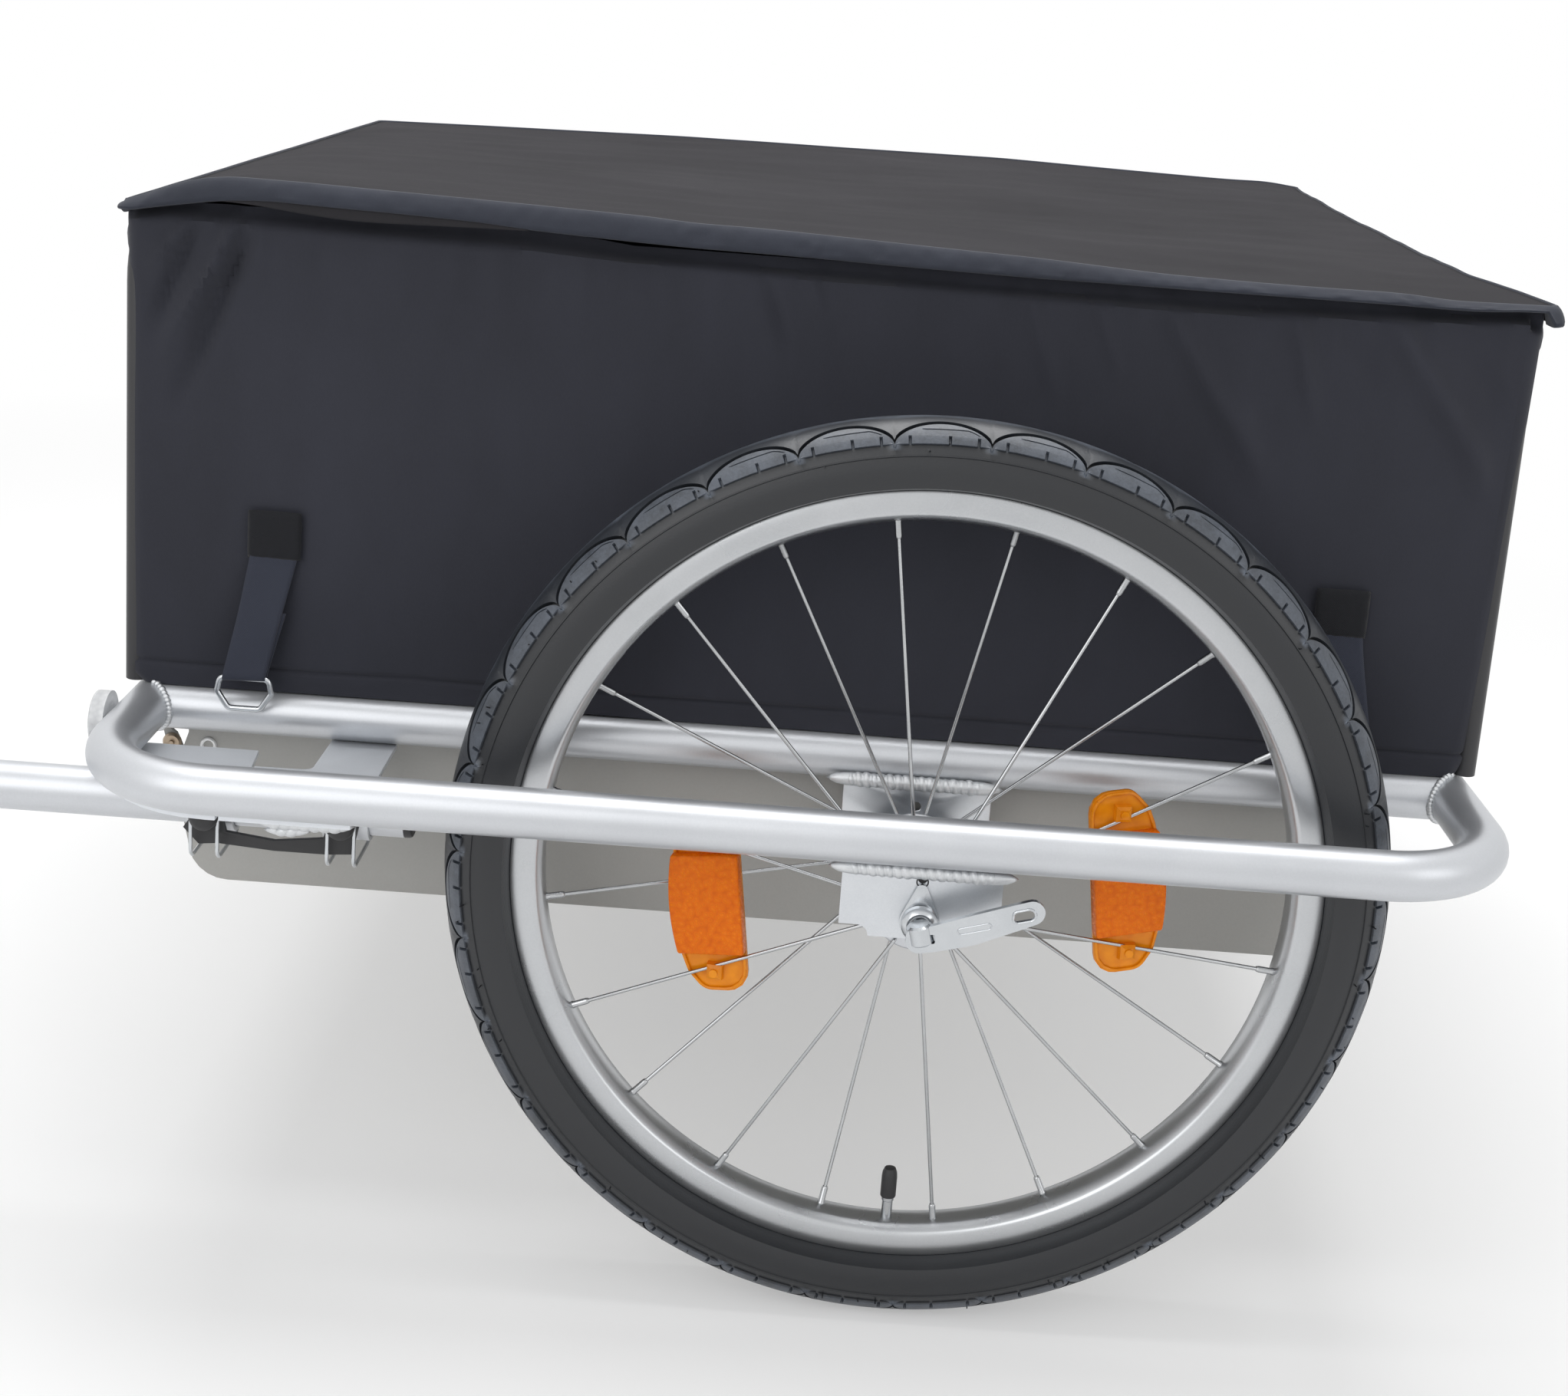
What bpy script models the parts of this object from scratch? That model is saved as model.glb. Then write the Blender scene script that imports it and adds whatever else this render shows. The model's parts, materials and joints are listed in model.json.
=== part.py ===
"""Bike cargo trailer: a bent aluminium loop frame with two quick-release wheels,
a fabric covered box and a pinned tow bar. Metres, +X forward, +Y left, +Z up."""
import math

import bmesh
import bpy
from mathutils import Matrix, Vector

# Fits and clearances
GAP = 0.0003
RUN = 0.0005
MERGE = 0.00001

# Wheels
WHEEL_STEPS = 40
SHAFT_STEPS = 14
TYRE_HEIGHT = 0.0350
TYRE_HALF = 0.0235
RIM_R = 0.2095
RIM_HALF = 0.0125
RIM_WALL = 0.0020
RIM_DEPTH = 0.0165
SPOKES = 20
SPOKE_R = 0.0010
ELBOW_R = 0.0030
SPOKE_END_Y = 0.0020
NIPPLE_R = 0.0019
NIPPLE_L = 0.0110
NIPPLE_SEAT = 0.0010
FLANGE_R = 0.0240
FLANGE_Y = 0.0340
FLANGE_T = 0.0025
SPOKE_CIRCLE_R = 0.0205
BARREL_R = 0.0140
BEARING_R = 0.0120
BEARING_T = 0.0090
AXLE_R = 0.0050
AXLE_BORE_R = 0.0030
SKEWER_R = 0.0025
FIRST_SPOKE = math.radians(82.6)
VALVE_ANGLE = math.radians(270.0)
VALVE_R = 0.0030
VALVE_CAP_R = 0.0042
VALVE_STEM_L = 0.0100
VALVE_CAP_FROM = 0.0120
VALVE_CAP_TO = 0.0260
VALVE_L = 0.0290
HUB_END = 0.0050
LOCK_NUT_R = 0.0085
AXLE_SHORT = 0.0005

# Frame
TUBE_R = 0.0125
RAIL_Z = 0.2893
BEND_R = 0.0625
INNER_Y = 0.3417
RAIL_SPACING = 0.1260
LOOP_FRONT = 0.4155
LOOP_REAR = 0.2870
DROPOUT_T = 0.0040
DROPOUT_LONG = 0.0800
DROPOUT_TAB = 0.0500
DROPOUT_SHOULDER = 0.0043
DROPOUT_BELOW = 0.0100
WASHER_T = 0.0020
LEVER_LONG = 0.0610
LEVER_ROOT_W = 0.0100
LEVER_TIP_R = 0.0080
LEVER_RIM = 0.0035
LEVER_T = 0.0045
LEVER_BARREL_R = 0.0065
LEVER_BARREL_L = 0.0140
LEVER_RISE = math.radians(20.0)
LEVER_LEAN = math.radians(8.0)
HOOK_HOLE_UP = 0.0222
HOOK_PEG_R = 0.0022
HOOK_LOW_R = 0.0100
HOOK_HIGH_R = 0.0042
SKEWER_HEAD_R = 0.0095
SKEWER_HEAD_T = 0.0070
SKEWER_FACE_R = 0.0070
SKEWER_RIM_T = 0.0050
SKEWER_TAIL = 0.0130
SKEWER_NUT_R = 0.0085
SKEWER_NUT_END_R = 0.0070
SKEWER_NUT_T = 0.0110
SKEWER_NUT_RIM_T = 0.0050

# Tow bar and its brackets
BAR_R = 0.0125
PLATE_T = 0.0030
SADDLE_T = 0.0025
SADDLE_LONG = 0.0240
PIN_FRONT_X = 0.3640
PIN_REAR_X = 0.2945
PIN_R = 0.0040
PIN_HEAD_R = 0.0055
PIN_HEAD_L = 0.0090
PIN_PAST_BAR = 0.0060
PIN_EDGE = 0.0015
PIN_TIP_L = 0.0020
SADDLE_EAR = 0.0060
PLUG_T = 0.0040
PLUG_EDGE = 0.0015
BRACKET_FRONT_INNER = 0.0268
BRACKET_FRONT_REAR_X = 0.3471
BRACKET_REAR_X = 0.2820
BRACKET_NECK_X = 0.3170
BRACKET_NECK_R = 0.0050
BRACKET_REAR_FRONT_X = 0.3470
BAIL_WIRE_R = 0.0010
BAIL_DROP = 0.0235
BAIL_REACH = 0.0080
BAIL_BEND_R = 0.0065
BAIL_PAST_BAR = 0.0040
LANYARD_T = 0.0030
LANYARD_H = 0.0055
LANYARD_EYE_R = 0.0085
LANYARD_DROP = 0.0120
BAR_REAR_X = 0.2650
BAR_BEND_X = 0.6000
BAR_REACH_X = 0.9300
BAR_END_X = 1.0800
BAR_END_Y = 0.1200
BAR_END_Z = 0.3300
BAR_BEND_R = 0.0900

# Hitch
TONGUE_T = 0.0100
TONGUE_R = 0.0100
HITCH_PIN_R = 0.0040
YOKE_T = 0.0040
YOKE_LONG = 0.0340
COUPLER_T = 0.0050
COUPLER_R = 0.0120
COUPLER_ARM = 0.0400
COUPLER_STEP = 0.0060
COUPLER_RISE = math.radians(45.0)
COUPLER_HOLE_R = 0.0060
SWIVEL_R = 0.0120
SWIVEL_EDGE = 0.0040
SWIVEL_NOSE_R = 0.0090
TONGUE_BACK = 0.0200
TONGUE_LONG = 0.0260
THROAT_LONG = 0.0300
THROAT_WIDE = 0.0400
THROAT_BACK = 0.0015
BOLT_HEAD_R = 0.0065
BOLT_RIM_T = 0.0010
HITCH_PIN_HEAD_T = 0.0030
COUPLER_BOLT_HEAD_T = 0.0040
BOLT_PAST = 0.0060
HITCH_PAST_BAR = 0.0450

# Floor pan and side panels
PANEL_T = 0.0030
PAN_T = 0.0020
PANEL_BOTTOM = 0.1853
PANEL_FRONT = 0.3985
PANEL_REAR = 0.2500
PANEL_CORNER_R = 0.0220

# Cover and the hoops inside it
COVER_FRONT = 0.4330
COVER_REAR = 0.3032
COVER_PAST_RAIL = 0.0042
COVER_TOP = 0.5561
COVER_CORNER_R = 0.0100
CLOTH_T = 0.0020
LID_T = 0.0024
LID_OVER = 0.0030
LID_SKIRT = 0.0120
HOOP_R = 0.0060
HOOP_BEND_R = 0.0300
STRAP_W = 0.0230
STRAP_T = 0.0020
STRAP_FRONT_X = 0.3490
STRAP_REAR_X = -0.2150
STRAP_LEAN = 0.0125
PATCH_H = 0.0250
PATCH_TOP = 0.4010
RING_W = 0.0290
RING_H = 0.0170
RING_WIRE_R = 0.0016
RING_TOP = 0.3125

# Small pieces
REFLECTOR_R = 0.1080
REFLECTOR_LONG = 0.0980
REFLECTOR_WIDE = 0.0380
REFLECTOR_BACK_T = 0.0040
REFLECTOR_LENS_T = 0.0060
REFLECTOR_LENS_LONG = 0.0530
REFLECTOR_CORNER_R = 0.0120
REFLECTOR_LENS_CORNER_R = 0.0020
FRONT_REFLECTOR_R = 0.0150
FRONT_REFLECTOR_Y = 0.3720
FRONT_REFLECTOR_T = 0.0080
FRONT_REFLECTOR_EDGE = 0.0010
FRONT_REFLECTOR_RIM_T = 0.0060

# Sizes that follow from the ones above
TYRE_R = RIM_R + TYRE_HEIGHT
COVER_HALF_Y = INNER_Y + COVER_PAST_RAIL
OUTER_Y = INNER_Y + RAIL_SPACING
WHEEL_Y = INNER_Y + RAIL_SPACING / 2
AXLE_Z = TYRE_R
ELBOW_Y = FLANGE_Y + FLANGE_T / 2 + SPOKE_R + GAP
HITCH_X = BAR_END_X + HITCH_PAST_BAR
COUPLER_X = HITCH_X + YOKE_LONG - TONGUE_R
FRONT_REACH = COUPLER_X + COUPLER_ARM * math.cos(COUPLER_RISE) + COUPLER_R
AXLE_X = (COVER_REAR + LID_OVER - FRONT_REACH) / 2
DROPOUT_IN = RAIL_SPACING / 2 - TUBE_R - 0.0002
BRACKET_TOP = RAIL_Z - TUBE_R - GAP
BAR_Z = BRACKET_TOP - PLATE_T - GAP - BAR_R
BAR_Y = WHEEL_Y
SADDLE_IN = BAR_R + GAP
SADDLE_OUT = SADDLE_IN + SADDLE_T
HEAD_Y = BAR_Y + SADDLE_OUT + GAP + LANYARD_T + GAP
RIM_BED_R = RIM_R - RIM_DEPTH
LID_UNDER = COVER_TOP - LID_T
CLOTH_TOP = LID_UNDER - GAP
CLOTH_BOTTOM = RAIL_Z + TUBE_R + GAP
INNER_CORNER_R = COVER_CORNER_R - CLOTH_T
HOOP_INSET = COVER_CORNER_R - (INNER_CORNER_R - HOOP_R - GAP) / math.sqrt(2)
HOOP_Y = COVER_HALF_Y - HOOP_INSET
HOOP_FRONT = COVER_FRONT - HOOP_INSET
HOOP_REAR = -COVER_REAR + HOOP_INSET
HOOP_TOP = CLOTH_TOP - GAP - HOOP_R
PANEL_Y = INNER_Y - TUBE_R - GAP - PANEL_T / 2
RING_Y = COVER_HALF_Y + 0.0120

FACING_X = Matrix(((0, 0, 1), (1, 0, 0), (0, 1, 0))).to_4x4()
FACING_Y = Matrix.Rotation(math.radians(90), 4, "X")
FACING_Z = Matrix.Identity(4)


def start_collections():
    """Empty scene with one collection for the trailer and one for cutters."""
    for item in list(bpy.data.objects):
        bpy.data.objects.remove(item, do_unlink=True)
    found = []
    for name in ("bike_cargo_trailer", "cutters"):
        group = bpy.data.collections.new(name)
        bpy.context.scene.collection.children.link(group)
        found.append(group)
    return found


TRAILER, CUTTERS = start_collections()


def finish_material(name, colour, roughness, metallic=0.0):
    """Principled material with one plain colour."""
    made = bpy.data.materials.new(name)
    made.use_nodes = True
    shader = made.node_tree.nodes["Principled BSDF"]
    shader.inputs["Base Color"].default_value = (*colour, 1.0)
    shader.inputs["Roughness"].default_value = roughness
    shader.inputs["Metallic"].default_value = metallic
    return made


ALUMINIUM = finish_material("satin_aluminium", (0.62, 0.64, 0.66), 0.32, 1.0)
PANEL_GREY = finish_material("grey_panel", (0.30, 0.29, 0.27), 0.55)
STEEL = finish_material("bright_steel", (0.55, 0.56, 0.57), 0.25, 1.0)
RUBBER = finish_material("tyre_rubber", (0.012, 0.012, 0.013), 0.80)
CLOTH = finish_material("black_cloth", (0.018, 0.018, 0.022), 0.85)
ORANGE = finish_material("orange_lens", (0.85, 0.22, 0.01), 0.25)
CLEAR = finish_material("pale_lens", (0.80, 0.82, 0.84), 0.20)
BLACK_PLASTIC = finish_material("black_plastic", (0.015, 0.015, 0.016), 0.50)


def at(x, y, z):
    """World point for a place counted forward from the axle."""
    return Vector((AXLE_X + x, y, z))


def add(name, data, material, matrix=FACING_Z, group=TRAILER):
    """One named object in a collection, with its material."""
    made = bpy.data.objects.new(name, data)
    made.matrix_world = matrix
    group.objects.link(made)
    if material is not None:
        data.materials.append(material)
    return made


def placed(where, turn=FACING_Z):
    """Matrix that turns a shape and then moves it."""
    return Matrix.Translation(where) @ turn


def arc(centre, radius, start, end, steps):
    """Points on a circle arc, ends included, angles in radians."""
    points = []
    for step in range(steps + 1):
        angle = start + (end - start) * step / steps
        points.append((centre[0] + radius * math.cos(angle), centre[1] + radius * math.sin(angle)))
    return points


def circle(centre, radius, steps=16):
    """Closed circle as an outline."""
    return arc(centre, radius, 0, 2 * math.pi, steps)[:-1]


def rounded_path(corners, radius, steps=8):
    """Open path in space whose inner corners are rounded with arcs."""
    corners = [Vector(corner) for corner in corners]
    points = [corners[0]]
    for before, corner, after in zip(corners, corners[1:], corners[2:]):
        back = (before - corner).normalized()
        ahead = (after - corner).normalized()
        half = back.angle(ahead) / 2
        reach = radius / math.tan(half)
        centre = corner + (back + ahead).normalized() * radius / math.sin(half)
        first = corner + back * reach - centre
        last = corner + ahead * reach - centre
        for step in range(steps + 1):
            points.append(centre + radius * first.slerp(last, step / steps).normalized())
    points.append(corners[-1])
    return points


def rounded_rectangle(low, high, radius, steps=4):
    """Closed outline of a rectangle with round corners."""
    points = []
    centres = (
        (high[0] - radius, high[1] - radius),
        (low[0] + radius, high[1] - radius),
        (low[0] + radius, low[1] + radius),
        (high[0] - radius, low[1] + radius),
    )
    for quarter, centre in enumerate(centres):
        start = quarter * math.pi / 2
        points += arc(centre, radius, start, start + math.pi / 2, steps)
    return points


def tube(name, points, radius, material, closed=False, sides=4):
    """Round bar along a path: bevelled curve with filled caps."""
    data = bpy.data.curves.new(name, "CURVE")
    data.dimensions = "3D"
    data.bevel_depth = radius
    data.bevel_resolution = sides
    data.use_fill_caps = True
    spline = data.splines.new("POLY")
    spline.points.add(len(points) - 1)
    for index, place in enumerate(points):
        spline.points[index].co = (*place, 1)
    spline.use_cyclic_u = closed
    return add(name, data, material)


def plate(name, outlines, thickness, material, where, turn=FACING_Z):
    """Flat piece from closed outlines: the first is the rim, the others are holes."""
    data = bpy.data.curves.new(name, "CURVE")
    data.dimensions = "2D"
    data.fill_mode = "BOTH"
    data.extrude = thickness / 2
    for outline in outlines:
        spline = data.splines.new("POLY")
        spline.points.add(len(outline) - 1)
        for index, place in enumerate(outline):
            spline.points[index].co = (place[0], place[1], 0, 1)
        spline.use_cyclic_u = True
    return add(name, data, material, placed(where, turn))


def turned(name, profile, steps, material, where, turn=FACING_Z, ring=False, group=TRAILER):
    """Turned piece: profile of (radius, height) points, outer side running down."""
    data = bpy.data.meshes.new(name)
    edges = [(index, index + 1) for index in range(len(profile) - 1)]
    if ring:
        edges.append((len(profile) - 1, 0))
    data.from_pydata([(radius, 0, height) for radius, height in profile], edges, [])
    made = add(name, data, material, placed(where, turn), group)
    screw = made.modifiers.new("turn", "SCREW")
    screw.steps = steps
    screw.render_steps = steps
    screw.use_merge_vertices = True
    screw.merge_threshold = MERGE
    screw.use_smooth_shade = True
    return made


def as_mesh(item):
    """The same piece with its curve or modifiers turned into a welded mesh."""
    bpy.context.view_layer.update()
    source = item.evaluated_get(bpy.context.evaluated_depsgraph_get())
    data = bpy.data.meshes.new_from_object(source)
    shape = bmesh.new()
    shape.from_mesh(data)
    bmesh.ops.remove_doubles(shape, verts=shape.verts, dist=MERGE)
    shape.to_mesh(data)
    shape.free()
    name, matrix = item.name, item.matrix_world.copy()
    group = item.users_collection[0]
    bpy.data.objects.remove(item)
    made = bpy.data.objects.new(name, data)
    made.matrix_world = matrix
    group.objects.link(made)
    return made


def cylinder(name, radius, length, where, turn, material=None, group=CUTTERS, sides=24):
    """Plain round bar along the local Z axis of its turn."""
    data = bpy.data.meshes.new(name)
    shape = bmesh.new()
    bmesh.ops.create_cone(
        shape, cap_ends=True, segments=sides, radius1=radius, radius2=radius, depth=length
    )
    shape.to_mesh(data)
    shape.free()
    return add(name, data, material, placed(where, turn), group)


def block(name, size, where, material, bevel=0.0, group=TRAILER):
    """Box with slightly rounded edges."""
    data = bpy.data.meshes.new(name)
    shape = bmesh.new()
    bmesh.ops.create_cube(shape, size=1.0)
    bmesh.ops.scale(shape, vec=size, verts=shape.verts)
    shape.to_mesh(data)
    shape.free()
    made = add(name, data, material, placed(where), group)
    if bevel:
        edge = made.modifiers.new("edges", "BEVEL")
        edge.width = bevel
        edge.segments = 2
    return made


def combine(item, other, operation):
    """Boolean of a mesh piece with another mesh, which is kept as a hidden cutter."""
    if other.users_collection[0] != CUTTERS:
        other.users_collection[0].objects.unlink(other)
        CUTTERS.objects.link(other)
    other.hide_render = True
    other.display_type = "WIRE"
    change = item.modifiers.new(operation.lower(), "BOOLEAN")
    change.operation = operation
    change.solver = "EXACT"
    change.object = other


def side_name(stem, side):
    """Node name with its side of the trailer."""
    return stem + ("_left" if side > 0 else "_right")


def make_loop():
    """One bent tube round the wheels and the box."""
    outline = rounded_rectangle((-LOOP_REAR, -OUTER_Y), (LOOP_FRONT, OUTER_Y), BEND_R, 6)
    tube("frame_loop", [at(x, y, RAIL_Z) for x, y in outline], TUBE_R, ALUMINIUM, closed=True)


def make_inner_rail(side):
    """Straight rail, its ends coped to sit against the front and rear of the loop."""
    length = LOOP_FRONT + LOOP_REAR
    middle = at((LOOP_FRONT - LOOP_REAR) / 2, side * INNER_Y, RAIL_Z)
    name = side_name("inner_rail", side)
    rail = cylinder(name, TUBE_R, length, middle, FACING_X, ALUMINIUM, TRAILER, 16)
    for end, x in (("front", LOOP_FRONT), ("rear", -LOOP_REAR)):
        cope = cylinder(
            f"{name}_cope_{end}", TUBE_R + GAP, 4 * TUBE_R, at(x, side * INNER_Y, RAIL_Z), FACING_Y
        )
        combine(rail, cope, "DIFFERENCE")


def dropout_outline():
    """Fork end: straight sides, a narrower tab and a slot that takes the axle from below."""
    rise = math.sqrt((TUBE_R + GAP) ** 2 - (RAIL_SPACING / 2 - DROPOUT_IN - DROPOUT_T) ** 2)
    top = RAIL_Z - rise - AXLE_Z
    half, tab = DROPOUT_LONG / 2, DROPOUT_TAB / 2
    low, shoulder = -DROPOUT_BELOW, -DROPOUT_SHOULDER
    slot = AXLE_R + GAP
    step = shoulder - low
    left = [(-half, top), (-half, shoulder), (-tab - step, shoulder)]
    left += arc((-tab - step, low), step, math.pi / 2, 0, 4)[1:-1] + [(-tab, low), (-slot, low)]
    right = [(-x, z) for x, z in reversed(left)]
    return left + arc((0, 0), slot, math.pi, 0, 10) + right


def make_dropout(name, side, inward):
    """Plate welded under a rail, with a hole for the hook washer's peg."""
    away = DROPOUT_IN + DROPOUT_T / 2
    where = at(0, side * (WHEEL_Y - inward * away), AXLE_Z)
    holes = [dropout_outline(), circle((0, HOOK_HOLE_UP), HOOK_PEG_R + GAP, 12)]
    plate(name, holes, DROPOUT_T, ALUMINIUM, where, FACING_Y)


def tyre_profile():
    """Full round section that narrows into the rim, as (radius, height)."""
    middle = TYRE_R - TYRE_HALF
    seat = RIM_R - RIM_WALL - 0.0040
    lip = RIM_HALF - RIM_WALL - GAP
    points = []
    for x, y in arc((0, 0), 1, math.radians(118), math.radians(-118), 8):
        fuller = 0.86
        out = math.copysign(abs(x) ** fuller, x)
        wide = math.copysign(abs(y) ** fuller, y)
        points.append((middle + TYRE_HALF * out, TYRE_HALF * wide))
    points = [(RIM_R + GAP, lip)] + points + [(RIM_R + GAP, -lip)]
    return [(seat, lip - 0.0012)] + points + [(seat, -lip + 0.0012)]


def rim_profile():
    """Box rim: two tyre flanges, a shallow well and a narrow spoke bed."""
    well = RIM_R - RIM_WALL - 0.0040 - GAP
    flange = RIM_HALF - RIM_WALL
    bed = 0.0065
    return [
        (RIM_R, flange), (RIM_R, RIM_HALF), (RIM_R - 0.0130, RIM_HALF), (RIM_BED_R, bed),
        (RIM_BED_R, -bed), (RIM_R - 0.0130, -RIM_HALF), (RIM_R, -RIM_HALF), (RIM_R, -flange),
        (well, -flange + 0.0008), (well, flange - 0.0008),
    ]


def hub_profile():
    """Hub shell with two flanges and a bearing pocket at each end."""
    inner, outer = FLANGE_Y - FLANGE_T / 2, FLANGE_Y + FLANGE_T / 2
    end = outer + 0.0050
    pocket = end - BEARING_T - RUN
    bore = AXLE_R + 0.0035
    pocket_r = BEARING_R + GAP
    upper = [
        (pocket_r, end), (BARREL_R, end), (BARREL_R, outer), (FLANGE_R, outer), (FLANGE_R, inner),
        (BARREL_R, inner),
    ]
    lower = [(radius, -height) for radius, height in reversed(upper)]
    hollow = [(pocket_r, -pocket), (bore, -pocket), (bore, pocket), (pocket_r, pocket)]
    return upper + lower + hollow


def make_hub(side, name):
    """Hub shell with a drilled hole for each spoke."""
    where = at(0, side * WHEEL_Y, AXLE_Z)
    hub = as_mesh(turned(name, hub_profile(), SHAFT_STEPS, ALUMINIUM, where, FACING_Y, ring=True))
    drills = bmesh.new()
    for index in range(SPOKES):
        angle = spoke_angle(index)
        place = Vector((math.cos(angle), 0, math.sin(angle))) * SPOKE_CIRCLE_R
        place.y = flange_side(index, side) * FLANGE_Y
        turn = Matrix.Translation(place) @ FACING_Y
        bmesh.ops.create_cone(
            drills, cap_ends=True, segments=6, radius1=SPOKE_R + GAP, radius2=SPOKE_R + GAP,
            depth=3 * FLANGE_T, matrix=turn
        )
    data = bpy.data.meshes.new(name + "_drills")
    drills.to_mesh(data)
    drills.free()
    combine(hub, add(data.name, data, None, placed(where), CUTTERS), "DIFFERENCE")


def spoke_angle(index):
    """Angle of a spoke round the axle, seen from the left, forward being zero."""
    return FIRST_SPOKE + 2 * math.pi * index / SPOKES


def flange_side(index, side):
    """Spokes go to the two flanges in turn, the first one to the outer flange."""
    return -side if index % 2 else side


def spoke_line(index, side):
    """Elbow outside the hub flange and end in the rim, counted from the wheel's centre."""
    angle = spoke_angle(index)
    outward = Vector((math.cos(angle), 0, math.sin(angle)))
    along = Vector((0, flange_side(index, side), 0))
    elbow = outward * (SPOKE_CIRCLE_R + ELBOW_R) + along * ELBOW_Y
    end = outward * (RIM_BED_R + NIPPLE_SEAT) + along * SPOKE_END_Y
    return outward, along, elbow, end


def make_spokes(side, name):
    """Radial spokes: head in the flange, bend, straight wire and a nipple set in the rim."""
    data = bpy.data.curves.new(name, "CURVE")
    data.dimensions = "3D"
    data.bevel_depth = SPOKE_R
    data.bevel_resolution = 0
    data.use_fill_caps = True
    head = NIPPLE_R / SPOKE_R
    inside = FLANGE_Y - FLANGE_T / 2 - GAP
    for index in range(SPOKES):
        outward, along, elbow, end = spoke_line(index, side)
        lean = (elbow - end).normalized()
        route = [
            (outward * SPOKE_CIRCLE_R + along * (inside - SPOKE_R), head),
            (outward * SPOKE_CIRCLE_R + along * inside, 1),
            (outward * SPOKE_CIRCLE_R + along * ELBOW_Y, 1),
            (end + lean * (NIPPLE_L + SPOKE_R), 1),
            (end + lean * NIPPLE_L, head),
            (end, head),
        ]
        spline = data.splines.new("POLY")
        spline.points.add(len(route) - 1)
        for point, (place, size) in zip(spline.points, route):
            point.co = (*place, 1)
            point.radius = size
    return as_mesh(add(name, data, STEEL, placed(at(0, side * WHEEL_Y, AXLE_Z))))


def make_wheel(side):
    """Everything that turns with one wheel."""
    centre = at(0, side * WHEEL_Y, AXLE_Z)
    turned(side_name("tyre", side), tyre_profile(), WHEEL_STEPS, RUBBER, centre, FACING_Y, ring=True)
    name = side_name("spoked_rim", side)
    rim = as_mesh(turned(name, rim_profile(), WHEEL_STEPS, ALUMINIUM, centre, FACING_Y, ring=True))
    combine(rim, make_spokes(side, side_name("spokes", side)), "UNION")
    make_hub(side, side_name("hub_shell", side))
    make_bearing(side, side_name("hub_bearing", side))
    make_spoke_reflectors(side)
    make_valve(side, side_name("valve", side))


def make_bearing(side, name):
    """Bearing sleeve: a race in each end of the hub shell with a thinner spacer between."""
    end = FLANGE_Y + FLANGE_T / 2 + HUB_END - GAP
    inner, spacer_r = AXLE_R + 0.0010 + GAP, AXLE_R + 0.0030
    inboard = end - BEARING_T
    upper = [(inner, end), (BEARING_R, end), (BEARING_R, inboard), (spacer_r, inboard)]
    lower = [(radius, -height) for radius, height in reversed(upper)]
    turned(name, upper + lower, SHAFT_STEPS, STEEL, at(0, side * WHEEL_Y, AXLE_Z), FACING_Y, ring=True)


def reflector_seat(index, side):
    """Middle, facing and turn of a reflector that two outer spokes cross."""
    angle = spoke_angle(index)
    step = 2 * math.pi / SPOKES
    outward, along, elbow, end = spoke_line(index + 1, side)
    slope = (elbow.y - end.y) * side / ((RIM_BED_R - SPOKE_CIRCLE_R - ELBOW_R) * math.cos(step))
    tilt = math.atan(slope)
    share = (REFLECTOR_R / math.cos(step) - SPOKE_CIRCLE_R - ELBOW_R) / (
        RIM_BED_R + NIPPLE_SEAT - SPOKE_CIRCLE_R - ELBOW_R)
    spoke_y = ELBOW_Y + (SPOKE_END_Y - ELBOW_Y) * share
    face = spoke_y - (SPOKE_R + GAP) / math.cos(tilt)
    centre = Vector((REFLECTOR_R * math.cos(angle), side * face, REFLECTOR_R * math.sin(angle)))
    centre += at(0, side * WHEEL_Y, AXLE_Z)
    out = Vector((math.cos(angle), 0, math.sin(angle))) * math.cos(tilt)
    out.y = -side * math.sin(tilt)
    normal = Vector((math.cos(angle), 0, math.sin(angle))) * math.sin(tilt)
    normal.y = side * math.cos(tilt)
    turn = Matrix((out, normal.cross(out), normal)).transposed().to_4x4()
    return centre, normal, turn


def make_spoke_reflectors(side):
    """Two orange reflectors, each carried by two outer spokes that cross its thin ends."""
    half_wide = REFLECTOR_WIDE / 2
    for place, index in (("front", 15), ("rear", 5)):
        centre, normal, turn = reflector_seat(index, side)
        half_long = REFLECTOR_LONG / 2
        outline = rounded_rectangle((-half_wide, -half_long), (half_wide, half_long),
                                    REFLECTOR_CORNER_R, 3)
        name = side_name(f"spoke_reflector_{place}", side)
        back = as_mesh(plate(name, [outline], REFLECTOR_BACK_T, ORANGE,
                             centre - normal * REFLECTOR_BACK_T / 2, turn))
        half_long = REFLECTOR_LENS_LONG / 2
        outline = rounded_rectangle((-half_wide, -half_long), (half_wide, half_long),
                                    REFLECTOR_LENS_CORNER_R, 1)
        lens = as_mesh(plate(name + "_lens", [outline], REFLECTOR_LENS_T, ORANGE,
                             centre + normal * (REFLECTOR_LENS_T / 2 - GAP), turn))
        combine(back, lens, "UNION")


def make_valve(side, name):
    """Valve stem with its cap, pointing from the rim to the hub."""
    top = RIM_BED_R - GAP
    profile = [(0, 0), (VALVE_R, 0), (VALVE_R, -VALVE_STEM_L), (VALVE_CAP_R, -VALVE_CAP_FROM),
               (VALVE_CAP_R, -VALVE_CAP_TO), (VALVE_R, -VALVE_L), (0, -VALVE_L)]
    outward = Vector((math.cos(VALVE_ANGLE), 0, math.sin(VALVE_ANGLE)))
    turn = outward.to_track_quat("Z", "Y").to_matrix().to_4x4()
    centre = at(0, side * WHEEL_Y, AXLE_Z)
    turned(name, profile, 12, BLACK_PLASTIC, centre + outward * top, turn)


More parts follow.
